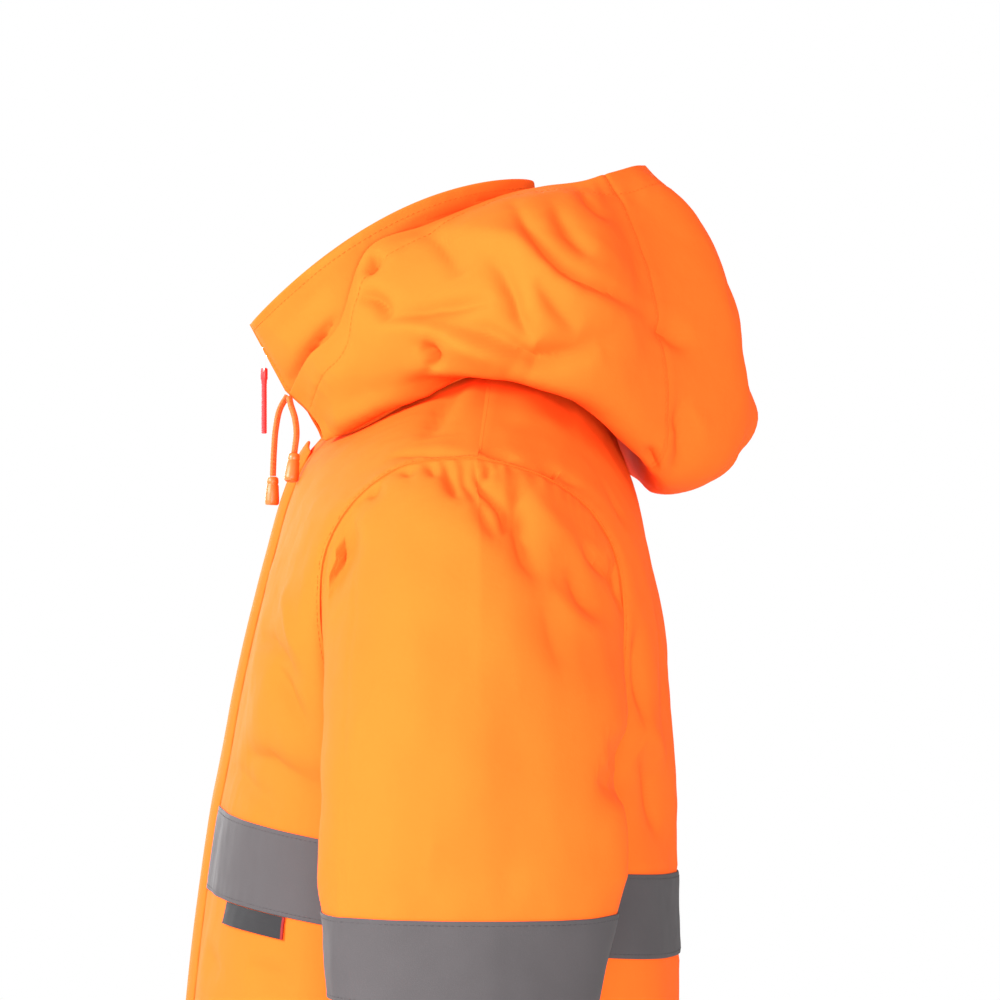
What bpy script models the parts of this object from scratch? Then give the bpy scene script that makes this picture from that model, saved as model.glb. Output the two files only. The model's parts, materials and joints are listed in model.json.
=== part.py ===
"""Hi-vis work jacket, size L, as worn: panels, sleeves, collar, hood, zip, drawcords and tapes.

Metres, +Z up.  The front faces -Y and the wearer's left is +X.  The origin is midway between the
neck ends of the two shoulder seams, where the jacket hangs on the shoulders.
Every cloth piece is a wall: a grid of outer points and the same grid moved in by the cloth's
thickness.  Neighbours share their seam's points and stand SEAM_GAP apart.
"""
import math
from collections import namedtuple

import bmesh
import bpy
import numpy as np
from mathutils import Matrix, Vector

# ---------------------------------------------------------------- driving sizes
SEAM_GAP = 0.0003
SHELL = 0.0020          # coated cloth of fronts, back and sleeves
HOOD_CLOTH = 0.0016
COLLAR_CLOTH = 0.0024
TAPE = 0.0010           # reflective tape
FLAP = 0.0022
ZIP_OPENING = 0.0045    # half the space between the two front edges
SHOULDER = (0.228, -0.016, -0.057)
NECK_POINT = (0.085, -0.002, 0.0)

# grid sizes
FRONT_COLUMNS = (0.0, 0.10, 0.22, 0.34, 0.46, 0.57, 0.67, 0.76, 0.84, 0.90, 0.95, 1.0)
BACK_COLUMNS = (0.0, 0.12, 0.25, 0.38, 0.51, 0.63, 0.74, 0.83, 0.91, 1.0)
FLAP_COLUMN = 1         # the flap is sewn along this column of the front, where the tapes end

# ---------------------------------------------------------------- tables
# A row of a half panel runs from its outer end (side seam or armhole) round a corner to its
# inner end (centre line or neckline).  full is the roundness: 2 an ellipse, more is boxier.
Row = namedtuple("Row", "at outer corner inner full")

# at is the height above the hem along the side seam, then along the armhole
FRONT_ROWS = (
    Row(0.000, (0.228, -0.018, -0.815), (0.2280, -0.2030, -0.8000), (0.0000, -0.2010, -0.7920), 2.70),
    Row(0.213, (0.224, -0.018, -0.602), (0.2240, -0.2000, -0.5880), (0.0000, -0.1980, -0.5790), 2.60),
    Row(0.264, (0.222, -0.018, -0.551), (0.2220, -0.1970, -0.5380), (0.0000, -0.1950, -0.5280), 2.60),
    Row(0.395, (0.217, -0.019, -0.416), (0.2170, -0.1870, -0.3960), (0.0000, -0.1850, -0.3945), 2.50),
    Row(0.463, (0.214, -0.020, -0.347), (0.2140, -0.1790, -0.3265), (0.0000, -0.1770, -0.3265), 2.40),
    Row(0.514, (0.212, -0.020, -0.298), (0.2120, -0.1710, -0.2765), (0.0000, -0.1690, -0.2745), 2.40),
    Row(0.532, (0.211, -0.021, -0.283), (0.2110, -0.1670, -0.2590), (0.0000, -0.1650, -0.2550), 2.40),
    Row(0.595, (0.208, -0.072, -0.246), (0.2080, -0.1580, -0.2250), (0.0000, -0.1560, -0.2050), 2.40),
    Row(0.648, (0.202, -0.099, -0.197), (0.1980, -0.1500, -0.1850), (0.0000, -0.1460, -0.1600), 2.35),
    Row(0.700, (0.197, -0.108, -0.145), (0.1760, -0.1410, -0.1400), (0.0000, -0.1340, -0.1150), 2.30),
    Row(0.732, (0.199, -0.105, -0.113), (0.1600, -0.1320, -0.1100), (0.0, -0.1235, -0.0770), 2.30),
    Row(0.765, (0.207, -0.090, -0.085), (0.145, -0.123, -0.084), (0.0, -0.1090, -0.0470), 2.20),
    Row(0.800, (0.216, -0.064, -0.064), (0.150, -0.082, -0.046), (0.055, -0.084, -0.039), 2.1),
    Row(0.832, (0.224, -0.039, -0.058), (0.158, -0.047, -0.031), (0.078, -0.044, -0.018), 2.0),
    Row(0.858, SHOULDER, (0.1565, -0.009, -0.0285), NECK_POINT, 2.0),
)
BACK_ROWS = (
    Row(0.000, (0.228, -0.018, -0.815), (0.2280, 0.1210, -0.8260), (0.0000, 0.1210, -0.8320), 2.7),
    Row(0.213, (0.224, -0.018, -0.602), (0.2240, 0.1205, -0.6120), (0.0000, 0.1205, -0.6180), 2.7),
    Row(0.264, (0.222, -0.018, -0.551), (0.2220, 0.1195, -0.5610), (0.0000, 0.1195, -0.5670), 2.7),
    Row(0.395, (0.217, -0.019, -0.416), (0.2170, 0.1185, -0.4300), (0.0000, 0.1185, -0.4360), 2.7),
    Row(0.463, (0.214, -0.020, -0.347), (0.2140, 0.1195, -0.3620), (0.0000, 0.1195, -0.3680), 2.7),
    Row(0.514, (0.212, -0.020, -0.298), (0.2120, 0.1185, -0.3100), (0.0000, 0.1185, -0.3170), 2.7),
    Row(0.532, (0.211, -0.021, -0.283), (0.2110, 0.1180, -0.2900), (0.0000, 0.1180, -0.2960), 2.7),
    Row(0.595, (0.210, 0.040, -0.248), (0.2090, 0.1160, -0.2420), (0.0000, 0.1165, -0.2360), 2.6),
    Row(0.648, (0.206, 0.066, -0.200), (0.2000, 0.1110, -0.1900), (0.0000, 0.1130, -0.1760), 2.5),
    Row(0.700, (0.203, 0.0725, -0.150), (0.1860, 0.1000, -0.1350), (0.0000, 0.1032, -0.1180), 2.4),
    Row(0.732, (0.205, 0.068, -0.116), (0.1760, 0.0910, -0.0980), (0.0000, 0.0940, -0.0680), 2.3),
    Row(0.765, (0.211, 0.053, -0.089), (0.1650, 0.0750, -0.0700), (0.0000, 0.0730, -0.0180), 2.2),
    Row(0.800, (0.219, 0.028, -0.070), (0.150, 0.052, -0.040), (0.0, 0.0575, 0.018), 2.1),
    Row(0.832, (0.225, 0.003, -0.061), (0.160, 0.018, -0.032), (0.062, 0.036, 0.0115), 2.0),
    Row(0.858, SHOULDER, (0.1565, -0.009, -0.0285), NECK_POINT, 2.0),
)
HEM, WAIST_LOW, WAIST_TOP, CHEST_LOW, CHEST_TOP, ARMPIT = 0.0, 0.213, 0.264, 0.463, 0.514, 0.532
THROAT = 0.765          # front rows above this end on the neckline
NAPE = 0.800            # back rows above this end on the neckline
SHOULDER_AT = 0.858

# Rings of a sleeve below its head: centre, half width across, half width front to back, and how
# far the ring's front edge is raised above its back edge, per metre.
Ring = namedtuple("Ring", "at x y z across deep rise")
SLEEVE_RINGS = (
    Ring(0.000, 0.2860, -0.0210, -0.300, 0.0660, 0.0895, 0.00),
    Ring(0.062, 0.2900, -0.0257, -0.362, 0.0640, 0.0780, 0.03),
    Ring(0.130, 0.2945, -0.0350, -0.430, 0.0610, 0.0720, 0.10),
    Ring(0.200, 0.2990, -0.0490, -0.500, 0.0585, 0.0700, 0.16),
    Ring(0.285, 0.3040, -0.0680, -0.583, 0.0550, 0.0640, 0.20),
    Ring(0.370, 0.3080, -0.0880, -0.665, 0.0510, 0.0590, 0.22),
)
SLEEVE_ROUND = 0.95             # 1 is an ellipse, less is boxier
HEAD_LEAVES = (0.93, 0.0, -0.37)        # direction in which a sleeve leaves the armhole
HEAD_REACH = (0.004, 0.088)     # how far it keeps to that direction, at the armpit and shoulder
HEAD_DROP = 1.15
HEAD_STEPS = (0.0, 0.12, 0.26, 0.41, 0.56, 0.71, 0.86)
ARM_BAND = (0.020, 0.071)       # top and bottom of the upper sleeve tape, down the rings
WRIST_BAND = (0.165, 0.216)

# Profiles of the hood from its rim (first) over the bulge to the neck seam (last), left half.
HOOD_PROFILES = (
    # the free front edge, just beside the collar's zip
    ((0.0200, -0.1255, -0.0140), (0.0255, -0.1190, -0.0195), (0.0310, -0.1135, -0.0250),
     (0.0350, -0.1095, -0.0305), (0.0385, -0.1065, -0.0355), (0.0410, -0.1045, -0.0400),
     (0.0430, -0.1030, -0.0445)),
    ((0.0565, -0.1140, 0.0080), (0.0645, -0.1085, 0.0000), (0.0700, -0.1030, -0.0090),
     (0.0710, -0.0980, -0.0175), (0.0695, -0.0935, -0.0255), (0.0665, -0.0900, -0.0325),
     (0.0625, -0.0870, -0.0380)),
    ((0.0772, -0.0955, 0.0270), (0.0868, -0.0928, 0.0160), (0.0920, -0.0870, 0.0030),
     (0.0920, -0.0800, -0.0090), (0.0890, -0.0735, -0.0180), (0.0850, -0.0690, -0.0235),
     (0.0800, -0.0650, -0.0262)),
    ((0.0858, -0.0775, 0.0740), (0.0995, -0.0785, 0.0530), (0.1080, -0.0740, 0.0240),
     (0.1080, -0.0655, 0.0000), (0.1030, -0.0570, -0.0120), (0.0960, -0.0490, -0.0158),
     (0.0885, -0.0430, -0.0155)),
    ((0.0785, -0.0400, 0.0900), (0.1060, -0.0420, 0.0740), (0.1300, -0.0420, 0.0320),
     (0.1290, -0.0390, -0.0010), (0.1120, -0.0310, -0.0070), (0.1000, -0.0250, -0.0065),
     (0.0905, -0.0200, -0.0058)),
    ((0.0590, 0.0050, 0.1085), (0.1120, 0.0020, 0.0950), (0.1550, 0.0020, 0.0440),
     (0.1520, 0.0020, -0.0040), (0.1220, 0.0045, -0.0065), (0.1040, 0.0065, -0.0005),
     (0.0890, 0.0080, 0.0045)),
    ((0.0590, 0.0320, 0.1150), (0.1120, 0.0340, 0.1000), (0.1580, 0.0330, 0.0470),
     (0.1570, 0.0300, -0.0100), (0.1270, 0.0280, -0.0120), (0.1020, 0.0270, -0.0005),
     (0.0820, 0.0260, 0.0090)),
    ((0.0550, 0.0560, 0.1185), (0.0980, 0.0650, 0.1000), (0.1430, 0.0730, 0.0500),
     (0.1500, 0.0690, -0.0170), (0.1260, 0.0600, -0.0300), (0.0930, 0.0510, -0.0080),
     (0.0640, 0.0430, 0.0135)),
    ((0.0460, 0.0730, 0.1235), (0.0700, 0.0870, 0.0950), (0.0980, 0.1030, 0.0360),
     (0.1120, 0.1090, -0.0380), (0.0980, 0.0990, -0.0640), (0.0740, 0.0800, -0.0300),
     (0.0460, 0.0530, 0.0175)),
    ((0.0260, 0.0925, 0.1305), (0.0370, 0.1275, 0.1015), (0.0500, 0.1545, 0.0380),
     (0.0570, 0.1520, -0.0510), (0.0500, 0.1100, -0.0760), (0.0380, 0.0880, -0.0320),
     (0.0240, 0.0590, 0.0205)),
    ((0.0000, 0.1025, 0.1330), (0.0000, 0.1440, 0.0875), (0.0000, 0.1675, 0.0080),
     (0.0000, 0.1650, -0.0560), (0.0000, 0.1100, -0.0770), (0.0000, 0.0905, -0.0320),
     (0.0000, 0.0620, 0.0215)),
)
HOOD_SEAM = 8           # the profile where the side pieces meet the centre strip
HOOD_STEPS = 2          # grid columns for each step between profiles
HOOD_ROWS = 14

# Collar: how far each seam point of the neckline leans out, and rises, to the top edge.
COLLAR_TIP = (-0.1504, 0.030)       # y and z of the zipped front end
COLLAR_BACK = (0.0310, 0.122)
COLLAR_TOP_HALF_WIDTH = 0.067
COLLAR_SIDE_RISE = 0.022            # the side of the top edge above the line from front to back
COLLAR_ROWS = 8
COLLAR_BOW = 0.003                  # how far its side bows out
COLLAR_NARROWS = (0.20, 0.80)       # its top narrows between these shares of the way back
COLLAR_FOLD = 0.0090                # how far its zipped front folds in just above the throat
COLLAR_FOLD_TOP = 0.45              # share of the collar's height where that fold ends
COLLAR_FOLD_REACH = 0.055           # how far round the neck it fades

# Storm flap: (share of the front's width, side, height of its outer face above the front)
FLAP_LINES = ((0.096, 1, 0.0025), (0.055, 1, 0.0046), (0.004, 1, 0.0052), (0.055, -1, 0.0054),
              (0.108, -1, 0.0048))

THROAT_POINT = (-0.1090, -0.0470)   # y and z of the collar's foot at the zip
ZIP_HALF_WIDTH = 0.0080
ZIP_DEPTH_BODY = 0.0028             # the tape's face behind the fronts' outer face
ZIP_DEPTH_COLLAR = 0.0056
ZIP_TAPE = 0.0014
ZIP_SHORT = 0.0030                  # the tape stops this far inside both ends
SLIDER_UP = 0.0676                  # middle of the slider, up the collar's front edge
SLIDER_DEPTH = 0.0009               # its face behind the collar's outer face
SLIDER_SIZE = (0.0070, 0.0125, 0.0040)
BAIL_SIZE = (0.0014, 0.0070, 0.0036)
BAIL_SINK = 0.0006                  # the bail's foot inside the slider
BAIL_WINDOW = (0.0040, 0.0048, 0.0022)
PULL_LOOP = (0.0027, 0.0124, 0.0012)        # half width, length and corner radius
PULL_WIRE = 0.00045
GRIP_OUTLINE = (        # height from the hinge, radius
    (-0.0520, 0.0011), (-0.0516, 0.0017), (-0.0204, 0.0018), (-0.0179, 0.0019), (-0.0170, 0.0023),
    (-0.0106, 0.0023), (-0.0100, 0.0018))

CORD = 0.0040
CORD_ROUTES = (
    ("left", ((0.0208, -0.1254, -0.0165), (0.0226, -0.1244, -0.0213), (0.0275, -0.1218, -0.0300),
              (0.0322, -0.1208, -0.0395), (0.0352, -0.1222, -0.0520))),
    ("right", ((-0.0207, -0.1262, -0.0149), (-0.0195, -0.1308, -0.0230), (-0.0190, -0.1335, -0.0350),
               (-0.0190, -0.1348, -0.0500), (-0.0190, -0.1355, -0.0665))),
)
BELL_OUTLINE = (        # height from the cord's end, radius
    (0.0000, 0.0026), (-0.0010, 0.0036), (-0.0100, 0.0043), (-0.0160, 0.0047), (-0.0178, 0.0044),
    (-0.0184, 0.0034))

LABEL_SHARES = (0.36, 0.46, 0.57, 0.60)   # of the front's width, with its own columns between
LABEL_DROP = 0.0135
LABEL_LIFT = 0.0007
LABEL_CLOTH = 0.0010

# Folds: lines of points, each with its reach to either side and its height (below 0: a valley).
SEAM_FADE = 0.12        # share of a panel's width over which folds die out towards a seam
FLAP_SHARE = 0.11       # a front's folds also end beside the flap
Fold = namedtuple("Fold", "reach height points")
# seen from the side, points are (y, z)
HOOD_FOLDS = (
    Fold(0.016, 0.0050, ((-0.035, 0.086), (0.005, 0.083), (0.027, 0.067), (0.049, 0.047), (0.090, 0.028))),
    Fold(0.013, -0.0050, ((0.017, 0.098), (0.034, 0.075), (0.062, 0.053), (0.092, 0.036))),
    Fold(0.013, -0.0045, ((-0.060, 0.025), (-0.030, 0.022), (-0.008, 0.016), (0.013, 0.007), (0.070, 0.009))),
    Fold(0.012, 0.0035, ((-0.066, 0.023), (-0.036, 0.016), (-0.008, 0.008), (0.010, 0.002), (0.050, -0.016))),
    Fold(0.012, -0.0030, ((0.000, 0.065), (0.006, 0.041), (0.020, 0.014))),
)
SLEEVE_FOLDS = (
    Fold(0.016, -0.0040, ((-0.018, -0.070), (-0.010, -0.090), (0.004, -0.104), (0.020, -0.130))),
    Fold(0.018, -0.0045, ((0.008, -0.072), (0.010, -0.118), (0.024, -0.135), (0.044, -0.158))),
    Fold(0.018, 0.0035, ((0.024, -0.130), (0.042, -0.152), (0.058, -0.160))),
    Fold(0.014, -0.0060, ((0.072, -0.205), (0.060, -0.244), (0.066, -0.270))),
    Fold(0.016, -0.0040, ((-0.112, -0.312), (-0.080, -0.318), (-0.040, -0.330))),
)
# seen from the front, points are (x, z)
FRONT_FOLDS = (
    Fold(0.018, -0.0040, ((0.190, -0.120), (0.178, -0.165), (0.182, -0.215))),
    Fold(0.030, 0.0030, ((0.060, -0.100), (0.110, -0.180), (0.150, -0.250))),
    Fold(0.028, -0.0030, ((0.030, -0.400), (0.100, -0.450), (0.180, -0.440))),
    Fold(0.030, 0.0035, ((0.060, -0.620), (0.080, -0.700), (0.075, -0.790))),
    Fold(0.028, -0.0035, ((0.150, -0.620), (0.155, -0.720), (0.160, -0.790))),
)
BACK_FOLDS = (
    Fold(0.030, -0.0035, ((0.186, -0.170), (0.160, -0.240), (0.150, -0.300))),
    Fold(0.032, 0.0035, ((0.020, -0.400), (0.090, -0.470), (0.180, -0.480))),
    Fold(0.030, -0.0035, ((0.090, -0.620), (0.085, -0.720), (0.090, -0.810))),
    Fold(0.030, 0.0030, ((-0.060, -0.620), (-0.055, -0.720), (-0.060, -0.810))),
)

COLOURS = {     # base colour, roughness, metallic
    "orange": ((1.00, 0.30, 0.03), 0.62, 0.0),
    "tape": ((0.24, 0.23, 0.24), 0.45, 0.15),
    "zip": ((0.95, 0.30, 0.05), 0.50, 0.0),
    "steel": ((0.62, 0.62, 0.64), 0.30, 1.0),
    "grip": ((0.72, 0.04, 0.05), 0.40, 0.0),
    "cord": ((0.95, 0.28, 0.04), 0.70, 0.0),
    "bell": ((0.90, 0.26, 0.03), 0.45, 0.0),
    "label": ((0.10, 0.10, 0.11), 0.75, 0.0),
}


# ---------------------------------------------------------------- curves and tables
def through(knots, values, at):
    """A smooth curve through values at knots, read at the places in at (cubic Hermite)."""
    knots = np.asarray(knots, float)
    values = np.asarray(values, float)
    at = np.clip(np.asarray(at, float), knots[0], knots[-1])
    steps = np.diff(knots)
    slopes = np.diff(values, axis=0) / steps.reshape(-1, *[1] * (values.ndim - 1))
    tangents = np.empty_like(values)
    tangents[0] = slopes[0]
    tangents[-1] = slopes[-1]
    for k in range(1, len(knots) - 1):
        before, after = steps[k - 1], steps[k]
        tangents[k] = (slopes[k - 1] * after + slopes[k] * before) / (before + after)
    k = np.clip(np.searchsorted(knots, at, side="right") - 1, 0, len(knots) - 2)
    shape = (-1, *[1] * (values.ndim - 1))
    h = steps[k].reshape(shape)
    t = ((at - knots[k]) / steps[k]).reshape(shape)
    return ((2 * t**3 - 3 * t**2 + 1) * values[k] + (t**3 - 2 * t**2 + t) * h * tangents[k]
            + (3 * t**2 - 2 * t**3) * values[k + 1] + (t**3 - t**2) * h * tangents[k + 1])


def even_steps(curve, shares):
    """Points at the given shares of a polyline's length."""
    lengths = np.concatenate(([0.0], np.cumsum(np.linalg.norm(np.diff(curve, axis=0), axis=1))))
    wanted = np.asarray(shares) * lengths[-1]
    return np.stack([np.interp(wanted, lengths, curve[:, axis]) for axis in range(3)], axis=1)


def panel_rows(table, ats, shares, centre_x):
    """Grid [row, column] of a half panel; each row is an affine superellipse from its inner end."""
    knots = [row.at for row in table]
    outer, corner, inner, full = (
        through(knots, [getattr(row, name) for row in table], ats)
        for name in ("outer", "corner", "inner", "full"))
    angle = np.linspace(0, math.pi / 2, 90)
    grid = []
    for k in range(len(ats)):
        side = np.sin(angle)[:, None] ** (2 / full[k])
        front = 1 - np.cos(angle)[:, None] ** (2 / full[k])
        line = outer[k] + (corner[k] - outer[k]) * side + (inner[k] - corner[k]) * front
        line = line[::-1]
        line[:, 0] = np.maximum(line[:, 0], centre_x)
        grid.append(even_steps(line, shares))
    return np.array(grid)


def spread(*stations):
    """Places from (value, steps to the next) pairs, the last with no steps."""
    places = []
    for (start, count), (end, _) in zip(stations, stations[1:]):
        places.extend(start + (end - start) * np.arange(count) / count)
    places.append(stations[-1][0])
    return np.array(places)


def fold_height(across, up, folds):
    """Height of the cloth above its plain form: a bell across each fold line, fading at its ends."""
    height = np.zeros(across.shape)
    for fold in folds:
        line = np.array(fold.points)
        lengths = np.concatenate(([0.0], np.cumsum(np.linalg.norm(np.diff(line, axis=0), axis=1))))
        nearest = np.full(across.shape, 1e9)
        along = np.zeros(across.shape)
        for k in range(len(line) - 1):
            step = line[k + 1] - line[k]
            t = ((across - line[k][0]) * step[0] + (up - line[k][1]) * step[1]) / (step @ step)
            t = np.clip(t, 0, 1)
            gap = np.hypot(across - line[k][0] - t * step[0], up - line[k][1] - t * step[1])
            closer = gap < nearest
            nearest = np.where(closer, gap, nearest)
            along = np.where(closer, (lengths[k] + t * (lengths[k + 1] - lengths[k])) / lengths[-1], along)
        fade = np.sin(math.pi * np.clip(along, 0.04, 0.96)) ** 0.6
        height += fold.height * fade * np.exp(-(nearest / fold.reach) ** 2)
    return height


# ---------------------------------------------------------------- walls
def grid_normals(grid, closed):
    """Unit normals of a grid of points, closed round its second index or not."""
    if closed:
        across = np.roll(grid, -1, axis=1) - np.roll(grid, 1, axis=1)
    else:
        across = np.gradient(grid, axis=1)
    along = np.gradient(grid, axis=0)
    normal = np.cross(along, across)
    return normal / np.maximum(np.linalg.norm(normal, axis=2, keepdims=True), 1e-12)


def facing(normals, grid, away_from):
    """The normals, turned if needed so that on the whole they point away from a point."""
    return normals if np.sum(normals * (grid - np.asarray(away_from))) > 0 else -normals


# which row or column an edge is, the one beside it, and the axis they are counted along
EDGES = {
    "first_row": (0, 1, 0), "last_row": (-1, -2, 0),
    "first_column": (0, 1, 1), "last_column": (-1, -2, 1),
}


def pull_back(grid, edge, distance):
    """Moves one edge of a grid towards its neighbour row or column, along the cloth."""
    here, there, axis = EDGES[edge]
    start = np.take(grid, here, axis=axis)
    step = np.take(grid, there, axis=axis) - start
    moved = start + step / np.linalg.norm(step, axis=1, keepdims=True) * distance
    if axis == 0:
        grid[here] = moved
    else:
        grid[:, here] = moved


def material(name):
    base, roughness, metallic = COLOURS[name]
    made = bpy.data.materials.get(name) or bpy.data.materials.new(name)
    made.use_nodes = True
    shader = made.node_tree.nodes["Principled BSDF"]
    shader.inputs["Base Color"].default_value = (*base, 1.0)
    shader.inputs["Roughness"].default_value = roughness
    shader.inputs["Metallic"].default_value = metallic
    return made


def add_object(name, mesh, finish):
    made = bpy.data.objects.new(name, mesh)
    bpy.context.scene.collection.objects.link(made)
    mesh.materials.append(material(finish))
    return made


def sheet_faces(rows, columns, closed=False):
    """Index triangles of a grid stored row by row, closed round its columns or not."""
    faces = []
    for r in range(rows - 1):
        for c in range(columns if closed else columns - 1):
            a, b = r * columns + c, r * columns + (c + 1) % columns
            faces.append((a, b, b + columns))
            faces.append((a, b + columns, a + columns))
    return faces


def add_wall(name, outer, inner, sheet, finish):
    """One closed solid: the outer sheet, the same sheet inside it, and a rim on every free edge."""
    back = len(outer)
    faces = list(sheet) + [tuple(back + k for k in reversed(face)) for face in sheet]
    edges = {}
    for face in sheet:
        for a, b in zip(face, face[1:] + face[:1]):
            if edges.pop((b, a), None) is None:
                edges[(a, b)] = True
    faces += [(b, a, back + a, back + b) for a, b in edges]
    mesh = bpy.data.meshes.new(name)
    mesh.from_pydata(np.concatenate([outer, inner]).tolist(), [], faces)
    shape = bmesh.new()
    shape.from_mesh(mesh)
    if shape.calc_volume(signed=True) < 0:
        bmesh.ops.reverse_faces(shape, faces=shape.faces)
    shape.to_mesh(mesh)
    shape.free()
    mesh.shade_smooth()
    return add_object(name, mesh, finish)


def add_sheet(name, outer, inner, finish, closed=False):
    """A wall from two grids [row, column]."""
    faces = sheet_faces(*outer.shape[:2], closed)
    return add_wall(name, outer.reshape(-1, 3), inner.reshape(-1, 3), faces, finish)


def mirrored(grid):
    return grid * np.array([-1.0, 1.0, 1.0])


def as_it_is(grid):
    return grid


SIDES = (("left", as_it_is), ("right", mirrored))


# ---------------------------------------------------------------- body
BODY_ATS = spread((HEM, 5), (WAIST_LOW, 1), (WAIST_TOP, 4), (CHEST_LOW, 1), (CHEST_TOP, 1), (ARMPIT, 0))


# from the armpit to the shoulder, with a row exactly at the throat and one at the nape
ARMHOLE_ATS = spread((ARMPIT, 4), (0.700, 2), (THROAT, 2), (NAPE, 4), (SHOULDER_AT, 0))
PANEL_ATS = np.concatenate([BODY_ATS[:-1], ARMHOLE_ATS])
ARMPIT_ROW = len(BODY_ATS) - 1
THROAT_ROW = int(np.argmin(abs(PANEL_ATS - THROAT)))
NAPE_ROW = int(np.argmin(abs(PANEL_ATS - NAPE)))
CHEST_ROWS = (int(np.argmin(abs(PANEL_ATS - CHEST_LOW))), int(np.argmin(abs(PANEL_ATS - CHEST_TOP))))
WAIST_ROWS = (int(np.argmin(abs(PANEL_ATS - WAIST_LOW))), int(np.argmin(abs(PANEL_ATS - WAIST_TOP))))


def seam_up():
    """The direction that both panels' walls share along the shoulder seam."""
    line = np.array(SHOULDER) - np.array(NECK_POINT)
    up = np.cross(line, (0.0, 1.0, 0.0))
    up = up if up[2] > 0 else -up
    return up / np.linalg.norm(up)


def half_panel(table, shares, centre_x, folds):
    """A left half panel: plain grid, folded grid and normals; folds cross the middle of the back."""
    grid = panel_rows(table, PANEL_ATS, shares, centre_x)
    normals = facing(grid_normals(grid, False), grid, (0.0, -0.02, -0.45))
    normals[:ARMPIT_ROW + 1, -1] = (1.0, 0.0, 0.0)
    normals[-1] = seam_up()
    height = fold_height(grid[..., 0], grid[..., 2], folds)
    shares = np.asarray(shares)
    height *= np.clip((1 - shares) / SEAM_FADE, 0, 1)
    if centre_x:
        height *= np.clip((shares - FLAP_SHARE) / SEAM_FADE, 0, 1)
    height[THROAT_ROW:] = 0
    return grid, grid + normals * height[..., None], normals


def build_fronts():
    """Both fronts and their tapes; gives the plain left grid, the folded one and its normals."""
    plain, grid, normals = half_panel(FRONT_ROWS, FRONT_COLUMNS, ZIP_OPENING, FRONT_FOLDS)
    for edge in ("last_column", "last_row"):
        pull_back(grid, edge, SEAM_GAP / 2)
    for side, turn in SIDES:
        add_sheet(f"front_{side}", turn(grid), turn(grid - normals * SHELL), "orange")
        for name, rows in (("chest", CHEST_ROWS), ("waist", WAIST_ROWS)):
            add_band(f"{name}_band_{side}", turn(grid), turn(normals), rows, FLAP_COLUMN)
    return plain, grid, normals


def add_band(name, grid, normals, rows, first_column=0):
    """A tape on a panel: the panel's own points moved out."""
    low, top = rows
    part = (slice(low, top + 1), slice(first_column, None))
    foot = grid[part] + normals[part] * SEAM_GAP
    add_sheet(name, foot + normals[part] * TAPE, foot, "tape")


def build_back():
    """The back in one piece: two half grids joined down the middle as far as the nape."""
    plain, left, normals = half_panel(BACK_ROWS, BACK_COLUMNS, 0.0, BACK_FOLDS)
    normals[:NAPE_ROW + 1, 0, 0] = 0.0
    normals[:, 0] /= np.linalg.norm(normals[:, 0], axis=1, keepdims=True)
    other = fold_height(-plain[..., 0], plain[..., 2], BACK_FOLDS)
    other *= np.clip((1 - np.asarray(BACK_COLUMNS)) / SEAM_FADE, 0, 1)
    other[THROAT_ROW:] = 0
    right = plain + normals * other[..., None]
    middle = (left[:NAPE_ROW + 1, 0] + right[:NAPE_ROW + 1, 0]) / 2
    for half in (left, right):
        half[:NAPE_ROW + 1, 0] = middle
        half[:NAPE_ROW + 1, 0, 0] = 0.0
        pull_back(half, "last_column", SEAM_GAP / 2)
        pull_back(half, "last_row", SEAM_GAP / 2)
    rows, columns = plain.shape[:2]
    right, right_normals = mirrored(right), mirrored(normals)
    outer = np.concatenate([left.reshape(-1, 3), right.reshape(-1, 3)])
    inward = np.concatenate([normals.reshape(-1, 3), right_normals.reshape(-1, 3)]) * SHELL
    shared = {rows * columns + r * columns: r * columns for r in range(NAPE_ROW + 1)}
    faces = sheet_faces(rows, columns)
    offset = rows * columns
    faces += [tuple(shared.get(offset + k, offset + k) for k in reversed(face)) for face in faces]
    kept = [k for k in range(len(outer)) if k not in shared]
    place = {k: n for n, k in enumerate(kept)}
    faces = [tuple(place[k] for k in face) for face in faces]
    add_wall("back", outer[kept], (outer - inward)[kept], faces, "orange")
    whole = np.concatenate([right[:, :0:-1], left], axis=1)
    whole_normals = np.concatenate([right_normals[:, :0:-1], normals], axis=1)
    for name, rows in (("chest", CHEST_ROWS), ("waist", WAIST_ROWS)):
        add_band(f"{name}_band_back", whole, whole_normals, rows)
    return plain


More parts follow.
